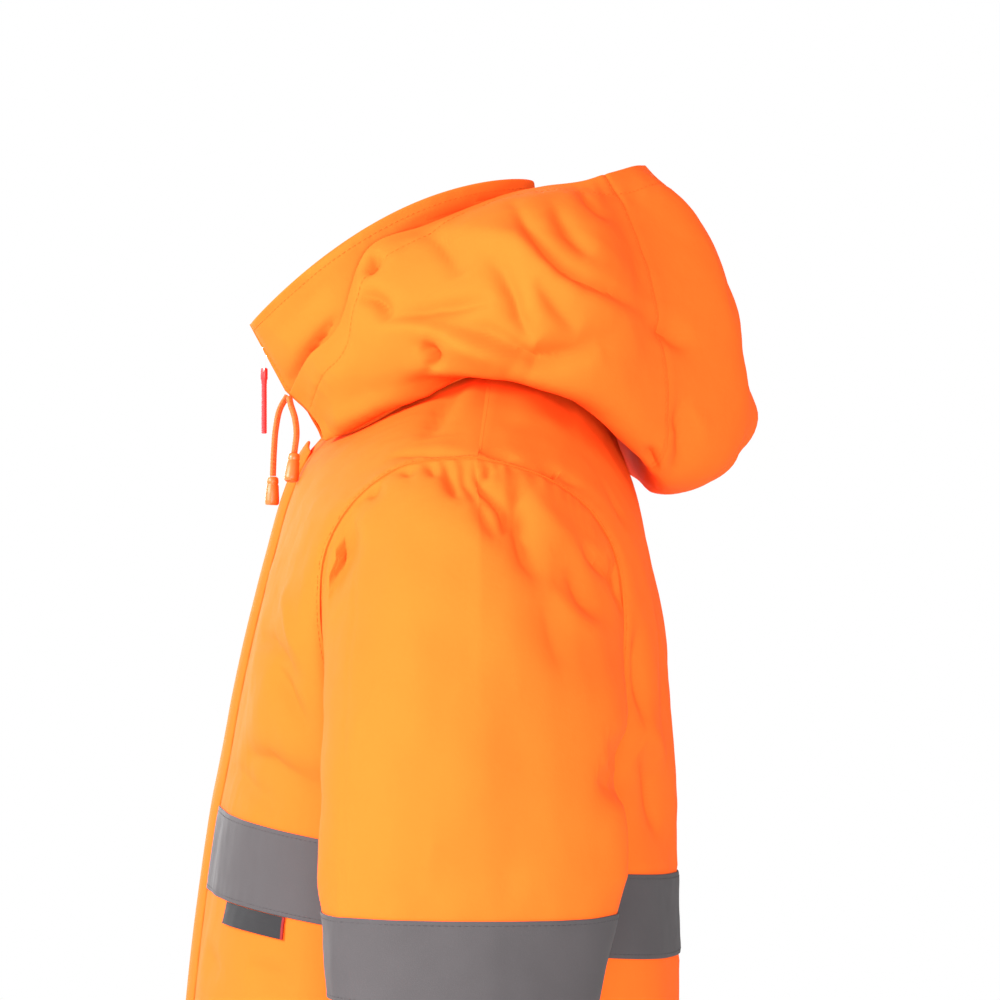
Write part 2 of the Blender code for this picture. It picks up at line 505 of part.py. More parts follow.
# ---------------------------------------------------------------- sleeves
def build_sleeves(front, back):
    """A tube from the armhole, whose columns are the panels' own rows, down to the cuff."""
    armhole = np.concatenate([front[:ARMPIT_ROW:-1, -1], back[ARMPIT_ROW:-1, -1]])
    count = len(armhole)
    turn = np.arange(count) * 2 * math.pi / count       # 0 is the shoulder, then the front
    ats = spread((0.0, 1), (ARM_BAND[0], 1), (ARM_BAND[1], 3), (WRIST_BAND[0], 1), (WRIST_BAND[1], 4),
                 (SLEEVE_RINGS[-1].at, 0))
    table = np.array([row[1:] for row in SLEEVE_RINGS])
    rings = through([row.at for row in SLEEVE_RINGS], table, ats)
    round_x, round_y = (np.sign(wave) * np.abs(wave) ** SLEEVE_ROUND for wave in (np.cos(turn), np.sin(turn)))
    tube = []
    for x, y, z, across, deep, rise in rings:
        ring_x = x + across * round_x
        ring_y = y - deep * round_y
        tube.append(np.stack([ring_x, ring_y, z - (ring_y - y) * rise], axis=1))
    tube = np.array(tube)
    head = []
    leave = np.array(HEAD_LEAVES)
    weight = (1 + np.cos(turn)) / 2                     # 1 at the shoulder, 0 at the armpit
    reach = HEAD_REACH[0] + (HEAD_REACH[1] - HEAD_REACH[0]) * weight
    first = armhole + leave * reach[:, None]
    last = tube[0] + np.array([0.0, 0.0, 1.0]) * (reach * HEAD_DROP)[:, None]
    for t in HEAD_STEPS:
        head.append((1 - t) ** 3 * armhole + 3 * (1 - t) ** 2 * t * first + 3 * (1 - t) * t**2 * last
                    + t**3 * tube[0])
    grid = np.concatenate([np.array(head), tube])
    normals = facing(grid_normals(grid, True), grid, (0.27, -0.02, -0.35))
    height = fold_height(grid[..., 1], grid[..., 2], SLEEVE_FOLDS)
    outside = np.clip(normals[..., 0] * 2.5 + 0.8, 0, 1)
    height *= outside
    height[0] = 0
    grid = grid + normals * height[..., None]
    pull_back(grid, "first_row", SEAM_GAP)
    first_ring = len(HEAD_STEPS)
    for side, turned in SIDES:
        add_sheet(f"sleeve_{side}", turned(grid), turned(grid - normals * SHELL), "orange", closed=True)
        for name, ring in (("arm", first_ring + 1), ("wrist", first_ring + 5)):
            foot = grid[ring:ring + 2] + normals[ring:ring + 2] * SEAM_GAP
            top = foot + normals[ring:ring + 2] * TAPE
            add_sheet(f"{name}_band_{side}", turned(top), turned(foot), "tape", closed=True)


# ---------------------------------------------------------------- collar and hood
def eased(value, start, end):
    """Rises smoothly from 0 at start to 1 at end."""
    t = np.clip((value - start) / (end - start), 0.0, 1.0)
    return t * t * (3 - 2 * t)


def collar_grid(neckline):
    """The collar's left half from its zipped edge to the middle of the back, bottom row first."""
    lengths = np.concatenate(([0.0], np.cumsum(np.linalg.norm(np.diff(neckline, axis=0), axis=1))))
    angle = math.pi * lengths / lengths[-1]
    toward_back = (1 - np.cos(angle)) / 2
    top = np.stack([
        neckline[:, 0] + (COLLAR_TOP_HALF_WIDTH * np.sin(angle) ** 0.85 - neckline[:, 0])
        * eased(toward_back, *COLLAR_NARROWS),
        COLLAR_TIP[0] + (COLLAR_BACK[0] - COLLAR_TIP[0]) * toward_back,
        COLLAR_TIP[1] + (COLLAR_BACK[1] - COLLAR_TIP[1]) * toward_back
        + COLLAR_SIDE_RISE * np.sin(angle) ** 2], axis=1)
    up = (np.arange(COLLAR_ROWS) / (COLLAR_ROWS - 1))[:, None, None]
    front = np.array(COLLAR_TIP) - np.array(THROAT_POINT)
    inward = np.array([0.0, front[1], -front[0]]) / np.linalg.norm(front)
    fold = np.sin(math.pi * np.sqrt(np.minimum(up / COLLAR_FOLD_TOP, 1.0)))
    fold = fold * (1 - eased(lengths, 0.0, COLLAR_FOLD_REACH))[None, :, None]
    grid = neckline + (top - neckline) * up + inward * COLLAR_FOLD * fold
    normals = facing(grid_normals(grid, False), grid, (0.0, -0.04, 0.04))
    normals[:, -1, 0] = 0.0
    normals[:, -1] /= np.linalg.norm(normals[:, -1], axis=1, keepdims=True)
    bow = np.sin(math.pi * up[..., 0]) * np.sin(angle)[None, :]
    return grid + normals * (COLLAR_BOW * bow)[..., None], normals


def build_collar(front, back):
    """The stand collar, its foot on the neckline; gives its left half."""
    neckline = np.concatenate([front[THROAT_ROW:, 0], back[NAPE_ROW:-1, 0][::-1]])
    neckline[-1, 0] = 0.0
    grid, normals = collar_grid(neckline)
    pull_back(grid, "first_row", SEAM_GAP * 2)
    whole = np.concatenate([grid, mirrored(grid[:, -2::-1])], axis=1)
    whole_normals = np.concatenate([normals, mirrored(normals[:, -2::-1])], axis=1)
    add_sheet("collar", whole, whole - whole_normals * COLLAR_CLOTH, "orange")
    return grid


def hood_grid():
    """The hood's left half: rows from rim to neck seam, columns from the throat to the centre back."""
    profiles = np.array(HOOD_PROFILES)
    columns = (len(profiles) - 1) * HOOD_STEPS + 1
    round_knots = np.arange(len(profiles))
    down_knots = np.arange(profiles.shape[1])
    lines = through(round_knots, profiles, np.linspace(0, len(profiles) - 1, columns))
    grid = [even_steps(through(down_knots, line, np.linspace(0, down_knots[-1], 60)),
                       np.linspace(0, 1, HOOD_ROWS)) for line in lines]
    return np.array(grid).transpose(1, 0, 2)


def build_hood():
    grid = hood_grid()
    grid[:, -1, 0] = 0.0
    normals = grid_normals(grid, False)
    normals = facing(normals, grid, (0.0, 0.02, 0.02))
    normals[:, -1, 0] = 0.0
    normals[:, -1] /= np.linalg.norm(normals[:, -1], axis=1, keepdims=True)
    height = fold_height(grid[..., 1], grid[..., 2], HOOD_FOLDS)
    height *= np.clip(normals[..., 0] * 2.5, 0, 1)
    height[0] = 0
    height[-1] = 0
    grid = grid + normals * height[..., None]
    seam = HOOD_SEAM * HOOD_STEPS
    side = grid[:, :seam + 1].copy()
    middle = grid[:, seam:].copy()
    pull_back(side, "last_column", SEAM_GAP / 2)
    pull_back(middle, "first_column", SEAM_GAP / 2)
    side_inner = side - normals[:, :seam + 1] * HOOD_CLOTH
    middle_normals = np.concatenate([normals[:, seam:], mirrored(normals[:, -2:seam - 1:-1])], axis=1)
    middle = np.concatenate([middle, mirrored(middle[:, -2::-1])], axis=1)
    for name, turn in SIDES:
        add_sheet(f"hood_{name}", turn(side), turn(side_inner), "orange")
    add_sheet("hood_centre", middle, middle - middle_normals * HOOD_CLOTH, "orange")


# ---------------------------------------------------------------- flap, zip and label
def build_flap():
    """A strip over the zip, from the fronts' own points moved out; sewn down along its left edge."""
    rows = PANEL_ATS[:THROAT_ROW + 1]
    columns = []
    for share, side, lift in FLAP_LINES:
        line = panel_rows(FRONT_ROWS, rows, (share, share + 0.01), 0.0)
        columns.append((line[:, 0] * np.array([side, 1.0, 1.0]), lift))
    grid = np.stack([line for line, _ in columns], axis=1)
    normals = facing(grid_normals(grid, False), grid, (0.0, 0.2, -0.45))
    outer = grid + normals * np.array([lift for _, lift in columns])[None, :, None]
    add_sheet("storm_flap", outer, outer - normals * FLAP, "orange")


def front_line(front, collar):
    """The jacket's middle line seen from the side, hem to collar tip: points and normals (y, z)."""
    body = front[:THROAT_ROW, 0, 1:]
    line = np.concatenate([body, collar[:, 0, 1:]])
    along = np.gradient(line, axis=0)
    normals = np.stack([-along[:, 1], along[:, 0]], axis=1)
    return line, normals / np.linalg.norm(normals, axis=1, keepdims=True), len(body)


def build_zip(front, collar):
    line, normals, throat = front_line(front, collar)
    depth = np.where(np.arange(len(line)) < throat, ZIP_DEPTH_BODY, ZIP_DEPTH_COLLAR)
    line[0] += (0.0, ZIP_SHORT)
    line[-1] += (line[-2] - line[-1]) / np.linalg.norm(line[-2] - line[-1]) * ZIP_SHORT
    face = line - normals * depth[:, None]
    back = face - normals * ZIP_TAPE
    grids = []
    for sheet in (face, back):
        grids.append(np.stack([np.column_stack([np.full(len(sheet), x), sheet])
                               for x in (-ZIP_HALF_WIDTH, ZIP_HALF_WIDTH)], axis=1))
    add_sheet("zip", *grids, "zip")


def box_mesh(name, size, centre):
    mesh = bpy.data.meshes.new(name)
    shape = bmesh.new()
    bmesh.ops.create_cube(shape, size=1.0, matrix=Matrix.Translation(centre) @ Matrix.Diagonal((*size, 1.0)))
    shape.to_mesh(mesh)
    shape.free()
    return mesh


def helper(name, mesh):
    """A shape that is joined into another and is not a piece of its own."""
    made = bpy.data.objects.new(name, mesh)
    bpy.context.scene.collection.objects.link(made)
    made.hide_render = True
    made.display_type = "WIRE"
    return made


def join(piece, other, operation="UNION"):
    step = piece.modifiers.new(operation.lower(), "BOOLEAN")
    step.operation = operation
    step.object = other
    step.solver = "EXACT"


def build_slider():
    """The slider and its bail, an arch along the zip, set on the collar; gives the pull's hinge."""
    up = np.array(COLLAR_TIP) - np.array(THROAT_POINT)
    up /= np.linalg.norm(up)
    out = np.array([-up[1], up[0]])
    at = np.array(THROAT_POINT) + up * SLIDER_UP - out * SLIDER_DEPTH
    frame = Matrix(((1, 0, 0, 0), (0, up[0], out[0], at[0]), (0, up[1], out[1], at[1]), (0, 0, 0, 1)))
    body = add_object("zip_slider", box_mesh("zip_slider", SLIDER_SIZE, (0, 0, -SLIDER_SIZE[2] / 2)), "steel")
    shape = body.modifiers.new("soften", "BEVEL")
    shape.width = 0.0006
    shape.segments = 2
    arch = helper("bail", box_mesh("bail", BAIL_SIZE, (0, 0, BAIL_SIZE[2] / 2 - BAIL_SINK)))
    window = helper("bail_window", box_mesh("bail_window", BAIL_WINDOW, (0, 0, BAIL_WINDOW[2] / 2)))
    for thing in (body, arch, window):
        thing.matrix_world = frame
    join(body, arch)
    join(body, window, "DIFFERENCE")
    return frame @ Vector((0, 0, BAIL_WINDOW[2] / 2))


def loop_mesh(name, path, radius, sides=8):
    """A closed tube of even radius round a loop of points in the plane y = 0."""
    path = np.asarray(path, float)
    along = np.roll(path, -1, axis=0) - np.roll(path, 1, axis=0)
    along /= np.linalg.norm(along, axis=1, keepdims=True)
    across = np.cross(along, (0.0, 1.0, 0.0))
    across /= np.linalg.norm(across, axis=1, keepdims=True)
    other = np.cross(along, across)
    turn = np.arange(sides) * 2 * math.pi / sides
    ring = across[:, None] * np.cos(turn)[None, :, None] + other[:, None] * np.sin(turn)[None, :, None]
    points = (path[:, None] + ring * radius).reshape(-1, 3)
    faces = []
    for k in range(len(path)):
        here, there = k * sides, (k + 1) % len(path) * sides
        for s in range(sides):
            t = (s + 1) % sides
            faces.append((here + s, there + s, there + t, here + t))
    return solid_mesh(name, points, faces)


def solid_mesh(name, points, faces):
    mesh = bpy.data.meshes.new(name)
    mesh.from_pydata(np.asarray(points).tolist(), [], faces)
    shape = bmesh.new()
    shape.from_mesh(mesh)
    if shape.calc_volume(signed=True) < 0:
        bmesh.ops.reverse_faces(shape, faces=shape.faces)
    shape.to_mesh(mesh)
    shape.free()
    mesh.shade_smooth()
    return mesh


def turned_mesh(name, outline, sides=14):
    """A solid turned round the vertical from (height, radius) pairs."""
    turn = np.arange(sides) * 2 * math.pi / sides
    points = [(radius * math.cos(a), radius * math.sin(a), height)
              for height, radius in outline for a in turn]
    faces = []
    for k in range(len(outline) - 1):
        for s in range(sides):
            t = (s + 1) % sides
            faces.append((k * sides + s, k * sides + t, (k + 1) * sides + t, (k + 1) * sides + s))
    faces.append(tuple(reversed(range(sides))))
    faces.append(tuple(range((len(outline) - 1) * sides, len(outline) * sides)))
    return solid_mesh(name, points, faces)


def build_pull(hinge):
    """A wire loop through the bail with a cord grip; its origin is the hinge in the bail."""
    half, drop, corner = PULL_LOOP
    path = []
    for x, z, start in ((half, 0, 0), (-half, 0, 90), (-half, -drop, 180), (half, -drop, 270)):
        for step in range(4):
            angle = math.radians(start + step * 30)
            inward_x = x - math.copysign(corner, x)
            inward_z = z - (corner if z == 0 else -corner)
            path.append((inward_x + corner * math.cos(angle), 0.0, inward_z + corner * math.sin(angle)))
    grip = add_object("zip_pull", turned_mesh("zip_pull", GRIP_OUTLINE), "grip")
    loop = helper("pull_loop", loop_mesh("pull_loop", path, PULL_WIRE))
    join(grip, loop)
    grip.location = hinge
    loop.location = hinge


# ---------------------------------------------------------------- drawcords
def build_cords():
    for side, route in CORD_ROUTES:
        knots = np.concatenate(([0.0], np.cumsum(np.linalg.norm(np.diff(route, axis=0), axis=1))))
        count = max(6, int(knots[-1] / (2.2 * CORD)) + 1)
        points = through(knots, route, np.linspace(0, knots[-1], count))
        curve = bpy.data.curves.new(f"drawcord_{side}", "CURVE")
        curve.dimensions = "3D"
        curve.bevel_depth = CORD / 2
        curve.bevel_resolution = 2
        curve.use_fill_caps = True
        spline = curve.splines.new("POLY")
        spline.points.add(count - 1)
        for point, place in zip(spline.points, points):
            point.co = (*place, 1.0)
        add_object(f"drawcord_{side}", curve, "cord")
        bell = add_object(f"cord_end_{side}", turned_mesh(f"cord_end_{side}", BELL_OUTLINE), "bell")
        down = Vector(points[-1] - points[-2]).normalized()
        lean = Vector((0, 0, -1)).rotation_difference(down)
        bell.location = Vector(points[-1]) + down * SEAM_GAP
        bell.rotation_mode = "QUATERNION"
        bell.rotation_quaternion = lean


def at_shares(line, shares):
    """A row of the front, read between its columns."""
    return np.stack([np.interp(shares, FRONT_COLUMNS, line[:, axis]) for axis in range(3)], axis=1)


def build_label(front, normals):
    """A woven label hanging from the lower edge of the left chest tape, on the front's own facets."""
    row = CHEST_ROWS[0]
    upper, lower = front[row], front[row - 1]
    drop = LABEL_DROP / np.linalg.norm(upper - lower, axis=1)[:, None]
    grid = []
    for share in (0.02, 0.5, 1.0):
        line = upper + (lower - upper) * drop * share
        grid.append(at_shares(line, LABEL_SHARES))
    out = at_shares(normals[row], LABEL_SHARES)
    lift = LABEL_LIFT * np.array([1.0, 1.4, 2.0])[:, None, None]
    foot = np.array(grid) + out[None] * lift
    add_sheet("label", foot + out[None] * LABEL_CLOTH, foot, "label")


def main():
    for thing in list(bpy.data.objects):
        bpy.data.objects.remove(thing, do_unlink=True)
    front, front_folded, front_normals = build_fronts()
    back = build_back()
    build_sleeves(front, back)
    collar = build_collar(front, back)
    build_hood()
    build_flap()
    build_zip(front, collar)
    hinge = build_slider()
    build_pull(hinge)
    build_cords()
    build_label(front_folded, front_normals)


main()
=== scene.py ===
"""Hi-vis work jacket: cloth, tapes, zip, cords and label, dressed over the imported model.

Every cloth surface is the solid's own form, worked out again from the same named rows, rings and
profiles on a finer grid, with creases and seam puckers laid on along its normals.
"""
import json
import math
from collections import namedtuple

import bmesh
import bpy
import numpy as np
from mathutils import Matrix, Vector

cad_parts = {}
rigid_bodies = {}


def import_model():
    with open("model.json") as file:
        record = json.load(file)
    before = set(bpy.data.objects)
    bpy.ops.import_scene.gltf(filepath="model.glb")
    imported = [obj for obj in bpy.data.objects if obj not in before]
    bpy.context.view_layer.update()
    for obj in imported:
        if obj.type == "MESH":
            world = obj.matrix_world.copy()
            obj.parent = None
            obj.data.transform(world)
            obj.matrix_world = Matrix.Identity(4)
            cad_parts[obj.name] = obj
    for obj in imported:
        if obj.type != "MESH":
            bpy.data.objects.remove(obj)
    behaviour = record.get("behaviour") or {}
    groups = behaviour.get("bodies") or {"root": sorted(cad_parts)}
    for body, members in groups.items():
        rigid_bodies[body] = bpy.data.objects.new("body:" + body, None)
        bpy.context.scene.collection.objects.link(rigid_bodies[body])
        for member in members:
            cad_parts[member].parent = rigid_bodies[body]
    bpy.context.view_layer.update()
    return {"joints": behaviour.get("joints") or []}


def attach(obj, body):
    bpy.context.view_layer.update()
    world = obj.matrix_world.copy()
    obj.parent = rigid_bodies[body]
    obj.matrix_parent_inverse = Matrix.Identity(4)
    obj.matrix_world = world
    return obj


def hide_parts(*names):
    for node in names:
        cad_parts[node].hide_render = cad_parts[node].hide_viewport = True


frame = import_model()

bl_info = {
    "name": "Hi-vis work jacket",
    "version": (1, 0, 0),
    "blender": (4, 5, 0),
    "location": "3D View > Sidebar > Jacket",
    "description": "Builds the cloth, tapes, zip and cords of a hooded work jacket",
    "category": "Object",
}

# ---------------------------------------------------------------- sizes shared with the solids
SEAM_GAP = 0.0003
SHELL = 0.0020
HOOD_CLOTH = 0.0016
COLLAR_CLOTH = 0.0024
TAPE = 0.0010
FLAP = 0.0022
ZIP_OPENING = 0.0045
SHOULDER = (0.228, -0.016, -0.057)
NECK_POINT = (0.085, -0.002, 0.0)

# a row of a half panel: how far up it is from the hem, its curve's three points and how full it is
Row = namedtuple("Row", "at outer corner inner full")
SHOULDER_ROW = Row(0.858, SHOULDER, (0.1565, -0.009, -0.0285), NECK_POINT, 2.0)
TENTHS = 10000.0                # tenths of a millimetre in a metre, the unit of the tables below


def panel_rows(*table):
    """A panel's rows from hem to shoulder, all but full in tenths of a millimetre."""
    low = [Row(at / TENTHS, *(np.array(point) / TENTHS for point in points), full)
           for at, *points, full in table]
    return (*low, SHOULDER_ROW)


FRONT_ROWS = panel_rows(
    (0, (2280, -180, -8150), (2280, -2030, -8000), (0, -2010, -7920), 2.7),
    (2130, (2240, -180, -6020), (2240, -2000, -5880), (0, -1980, -5790), 2.6),
    (2640, (2220, -180, -5510), (2220, -1970, -5380), (0, -1950, -5280), 2.6),
    (3950, (2170, -190, -4160), (2170, -1870, -3960), (0, -1850, -3945), 2.5),
    (4630, (2140, -200, -3470), (2140, -1790, -3265), (0, -1770, -3265), 2.4),
    (5140, (2120, -200, -2980), (2120, -1710, -2765), (0, -1690, -2745), 2.4),
    (5320, (2110, -210, -2830), (2110, -1670, -2590), (0, -1650, -2550), 2.4),
    (5950, (2080, -720, -2460), (2080, -1580, -2250), (0, -1560, -2050), 2.4),
    (6480, (2020, -990, -1970), (1980, -1500, -1850), (0, -1460, -1600), 2.35),
    (7000, (1970, -1080, -1450), (1760, -1410, -1400), (0, -1340, -1150), 2.3),
    (7320, (1990, -1050, -1130), (1600, -1320, -1100), (0, -1235, -770), 2.3),
    (7650, (2070, -900, -850), (1450, -1230, -840), (0, -1090, -470), 2.2),
    (8000, (2160, -640, -640), (1500, -820, -460), (550, -840, -390), 2.1),
    (8320, (2240, -390, -580), (1580, -470, -310), (780, -440, -180), 2.0),
)
BACK_ROWS = panel_rows(
    (0, (2280, -180, -8150), (2280, 1210, -8260), (0, 1210, -8320), 2.7),
    (2130, (2240, -180, -6020), (2240, 1205, -6120), (0, 1205, -6180), 2.7),
    (2640, (2220, -180, -5510), (2220, 1195, -5610), (0, 1195, -5670), 2.7),
    (3950, (2170, -190, -4160), (2170, 1185, -4300), (0, 1185, -4360), 2.7),
    (4630, (2140, -200, -3470), (2140, 1195, -3620), (0, 1195, -3680), 2.7),
    (5140, (2120, -200, -2980), (2120, 1185, -3100), (0, 1185, -3170), 2.7),
    (5320, (2110, -210, -2830), (2110, 1180, -2900), (0, 1180, -2960), 2.7),
    (5950, (2100, 400, -2480), (2090, 1160, -2420), (0, 1165, -2360), 2.6),
    (6480, (2060, 660, -2000), (2000, 1110, -1900), (0, 1130, -1760), 2.5),
    (7000, (2030, 725, -1500), (1860, 1000, -1350), (0, 1032, -1180), 2.4),
    (7320, (2050, 680, -1160), (1760, 910, -980), (0, 940, -680), 2.3),
    (7650, (2110, 530, -890), (1650, 750, -700), (0, 730, -180), 2.2),
    (8000, (2190, 280, -700), (1500, 520, -400), (0, 575, 180), 2.1),
    (8320, (2250, 30, -610), (1600, 180, -320), (620, 360, 115), 2.0),
)
HEM, WAIST_LOW, WAIST_TOP, CHEST_LOW, CHEST_TOP, ARMPIT = 0.0, 0.213, 0.264, 0.463, 0.514, 0.532
THROAT, NAPE, SHOULDER_AT = 0.765, 0.800, 0.858
ARMHOLE_AT = (0.532, 0.574, 0.616, 0.658, 0.700, 0.7325, 0.765, 0.7825, 0.800, 0.8145, 0.829, 0.8435, 0.858)

# a ring of a sleeve: how far down it is, its middle, its two half widths and how much it slants
Ring = namedtuple("Ring", "at x y z across deep rise")
SLEEVE_RINGS = (
    Ring(0.000, 0.2860, -0.0210, -0.300, 0.0660, 0.0895, 0.00),
    Ring(0.062, 0.2900, -0.0257, -0.362, 0.0640, 0.0780, 0.03),
    Ring(0.130, 0.2945, -0.0350, -0.430, 0.0610, 0.0720, 0.10),
    Ring(0.200, 0.2990, -0.0490, -0.500, 0.0585, 0.0700, 0.16),
    Ring(0.285, 0.3040, -0.0680, -0.583, 0.0550, 0.0640, 0.20),
    Ring(0.370, 0.3080, -0.0880, -0.665, 0.0510, 0.0590, 0.22),
)
SLEEVE_ROUND = 0.95
HEAD_LEAVES = (0.93, 0.0, -0.37)
HEAD_REACH = (0.004, 0.088)
HEAD_DROP = 1.15
ARM_BAND = (0.020, 0.071)
WRIST_BAND = (0.165, 0.216)
CUFF = 0.370

HOOD_PROFILES = np.array((
    ((200, -1255, -140), (255, -1190, -195), (310, -1135, -250), (350, -1095, -305), (385, -1065, -355),
     (410, -1045, -400), (430, -1030, -445)),
    ((565, -1140, 80), (645, -1085, 0), (700, -1030, -90), (710, -980, -175), (695, -935, -255),
     (665, -900, -325), (625, -870, -380)),
    ((772, -955, 270), (868, -928, 160), (920, -870, 30), (920, -800, -90), (890, -735, -180),
     (850, -690, -235), (800, -650, -262)),
    ((858, -775, 740), (995, -785, 530), (1080, -740, 240), (1080, -655, 0), (1030, -570, -120),
     (960, -490, -158), (885, -430, -155)),
    ((785, -400, 900), (1060, -420, 740), (1300, -420, 320), (1290, -390, -10), (1120, -310, -70),
     (1000, -250, -65), (905, -200, -58)),
    ((590, 50, 1085), (1120, 20, 950), (1550, 20, 440), (1520, 20, -40), (1220, 45, -65), (1040, 65, -5),
     (890, 80, 45)),
    ((590, 320, 1150), (1120, 340, 1000), (1580, 330, 470), (1570, 300, -100), (1270, 280, -120),
     (1020, 270, -5), (820, 260, 90)),
    ((550, 560, 1185), (980, 650, 1000), (1430, 730, 500), (1500, 690, -170), (1260, 600, -300),
     (930, 510, -80), (640, 430, 135)),
    ((460, 730, 1235), (700, 870, 950), (980, 1030, 360), (1120, 1090, -380), (980, 990, -640),
     (740, 800, -300), (460, 530, 175)),
    ((260, 925, 1305), (370, 1275, 1015), (500, 1545, 380), (570, 1520, -510), (500, 1100, -760),
     (380, 880, -320), (240, 590, 205)),
    ((0, 1025, 1330), (0, 1440, 875), (0, 1675, 80), (0, 1650, -560), (0, 1100, -770), (0, 905, -320),
     (0, 620, 215)),
)) / TENTHS
HOOD_SEAM = 8

COLLAR_TIP = (-0.1504, 0.030)
COLLAR_BACK = (0.0310, 0.122)
COLLAR_TOP_HALF_WIDTH = 0.067
COLLAR_SIDE_RISE = 0.022
COLLAR_BOW = 0.003
COLLAR_NARROWS = (0.20, 0.80)
COLLAR_FOLD, COLLAR_FOLD_TOP, COLLAR_FOLD_REACH = 0.0090, 0.45, 0.055

FLAP_LINES = ((0.096, 1, 0.0025), (0.055, 1, 0.0046), (0.004, 1, 0.0052), (0.055, -1, 0.0054),
              (0.108, -1, 0.0048))
BAND_SHARE = 0.10               # the tapes start at this share of a front's width

THROAT_POINT = (-0.1090, -0.0470)
ZIP_DEPTH_BODY = 0.0028
ZIP_DEPTH_COLLAR = 0.0056
SLIDER_UP = 0.0676
PULL_LOOP = (0.0027, 0.0124, 0.0012)
PULL_WIRE = 0.00045
GRIP_TOP, GRIP_END, GRIP_RADIUS = -0.0100, -0.0520, 0.0018
HINGE = frame["joints"][0]["pos_m"]

CORD = 0.0040
CORD_ROUTES = (
    ("left", ((0.0208, -0.1254, -0.0165), (0.0226, -0.1244, -0.0213), (0.0275, -0.1218, -0.0300),
              (0.0322, -0.1208, -0.0395), (0.0352, -0.1222, -0.0520))),
    ("right", ((-0.0207, -0.1262, -0.0149), (-0.0195, -0.1308, -0.0230), (-0.0190, -0.1335, -0.0350),
               (-0.0190, -0.1348, -0.0500), (-0.0190, -0.1355, -0.0665))),
)
# outlines of the moulded ends: (height, radius)
BELL_OUTLINE = (
    (0.0, 0.0022), (0.0004, 0.0029), (0.0012, 0.0036), (0.0040, 0.0039), (0.0046, 0.0036),
    (0.0052, 0.0036), (0.0058, 0.0040), (0.0110, 0.0044), (0.0150, 0.0047), (0.0166, 0.0047),
    (0.0177, 0.0044), (0.0184, 0.0036), (0.0182, 0.0026),
)
GRIP_HEAD_OUTLINE = (
    (-0.0179, 0.0019), (-0.0171, 0.0023), (-0.0110, 0.0023), (-0.0104, 0.0021), (-0.0100, 0.0014),
)
GRIP_RIB = 0.0011               # from rib to rib of the grip
GRIP_HEAD_LENGTH = 0.0106
LABEL_SHARES = (0.36, 0.60)
LABEL_DROP = 0.0135
LABEL_CLOTH = 0.0007
LABEL_EDGE = 0.0019             # width of its coloured edge
LABEL_HALF_WIDTH = 0.0366
LABEL_RIB = 0.0005              # from rib to rib
LABEL_COLOUR = (0.015, 0.0145, 0.016)
STEEL_COLOUR = (0.66, 0.66, 0.68)
FLOOR_COLOUR = (0.86, 0.86, 0.85)
ZIP_WEAVE = 0.0009
STITCH_LENGTH, STITCH_WIDTH, STITCH_PROUD = 0.0026, 0.0005, 0.00018
EDGE_SEWN = 0.0022              # how far in from an armhole the cloth is sewn
TAPE_SEWN = 0.0026              # and how far in from its edges a tape is
TAPE_FACE = SEAM_GAP + TAPE - 0.0001
TAPE_GRID = (0.0026, 0.0007)    # from row to row of a tape's grid, and where it is finer at the edges
TAPE_PRESS, TAPE_PRESS_WIDTH = 0.00022, 0.0009      # how deep and broad its sewing presses it
TAPE_UNEVEN, TAPE_UNEVEN_SIZE = 0.0002, 0.035
FLAP_SEWN = 0.93                # share of the flap's width where its row of sewing runs
BODY_MIDDLE = (0.0, -0.02, -0.45)
SLEEVE_MIDDLE = (0.27, -0.02, -0.35)

# gathers beside a seam: from crest to crest, share of the height that is set, and how far they reach
Gathers = namedtuple("Gathers", "size share reach")
ARMHOLE_GATHERS = Gathers(0.0105, 1.0, 0.011)
SIDE_GATHERS = Gathers(0.016, 0.5, 0.008)
TAPE_GATHERS = Gathers(0.0125, 0.45, 0.010)
HEM_GATHERS = Gathers(0.0125, 0.45, 0.012)
HEAD_GATHERS = Gathers(0.0100, 1.3, 0.013)
SLEEVE_SEAM_GATHERS = Gathers(0.017, 0.4, 0.009)
NECK_GATHERS = Gathers(0.012, 0.9, 0.011)
TUNNEL_GATHERS = Gathers(0.014, 0.5, 0.008)
HOOD_SEAM_GATHERS = Gathers(0.013, 0.6, 0.009)
COLLAR_GATHERS = Gathers(0.012, 0.3, 0.006)

# uneven cloth: height and length across of its facets, and of the finer ripples on them
PANEL_UNEVEN = ((0.0017, 0.11), (0.0007, 0.045), (0.00018, 0.016))
SLEEVE_UNEVEN = ((0.0013, 0.10), (0.0006, 0.04), (0.00018, 0.016))
HOOD_UNEVEN = ((0.0008, 0.085), (0.0004, 0.032), (0.00015, 0.014))
COLLAR_UNEVEN = ((0.0006, 0.07), (0.0003, 0.026))
CREASES_END = 0.022             # a panel's creases fade over this distance beside its seams

# how much lower the wearer's right side has its creases than the left
FRONT_LOWER, BACK_LOWER, SLEEVE_LOWER, HOOD_LOWER = 0.014, -0.018, 0.016, 0.010

CAMERA_AZIMUTH = 87.0           # degrees from straight before the jacket towards the wearer's left
CAMERA_LENS = 168.75
LOOK_AT = (0.0, 0.0096, -0.0819)
FLOOR = -0.95
FLOOR_RINGS = (0.02, 1.0, 2.0, 3.0)
LIGHTS = (                      # name, place and size; their powers are among the settings
    ("key", (0.95, -2.20, 0.85), 1.1),
    ("side", (2.45, 0.05, -0.10), 1.0),
    ("fill", (-2.30, -0.90, 0.40), 2.0),
)
LIGHTS_AIM = (0.05, -0.03, -0.35)

# ---------------------------------------------------------------- creases
# A crease is a line of points with its reach to either side and its height (below 0 a trough).
# keen is 2 for a soft roll and nearer 1 for a sharp line.
Crease = namedtuple("Crease", "reach height keen points")


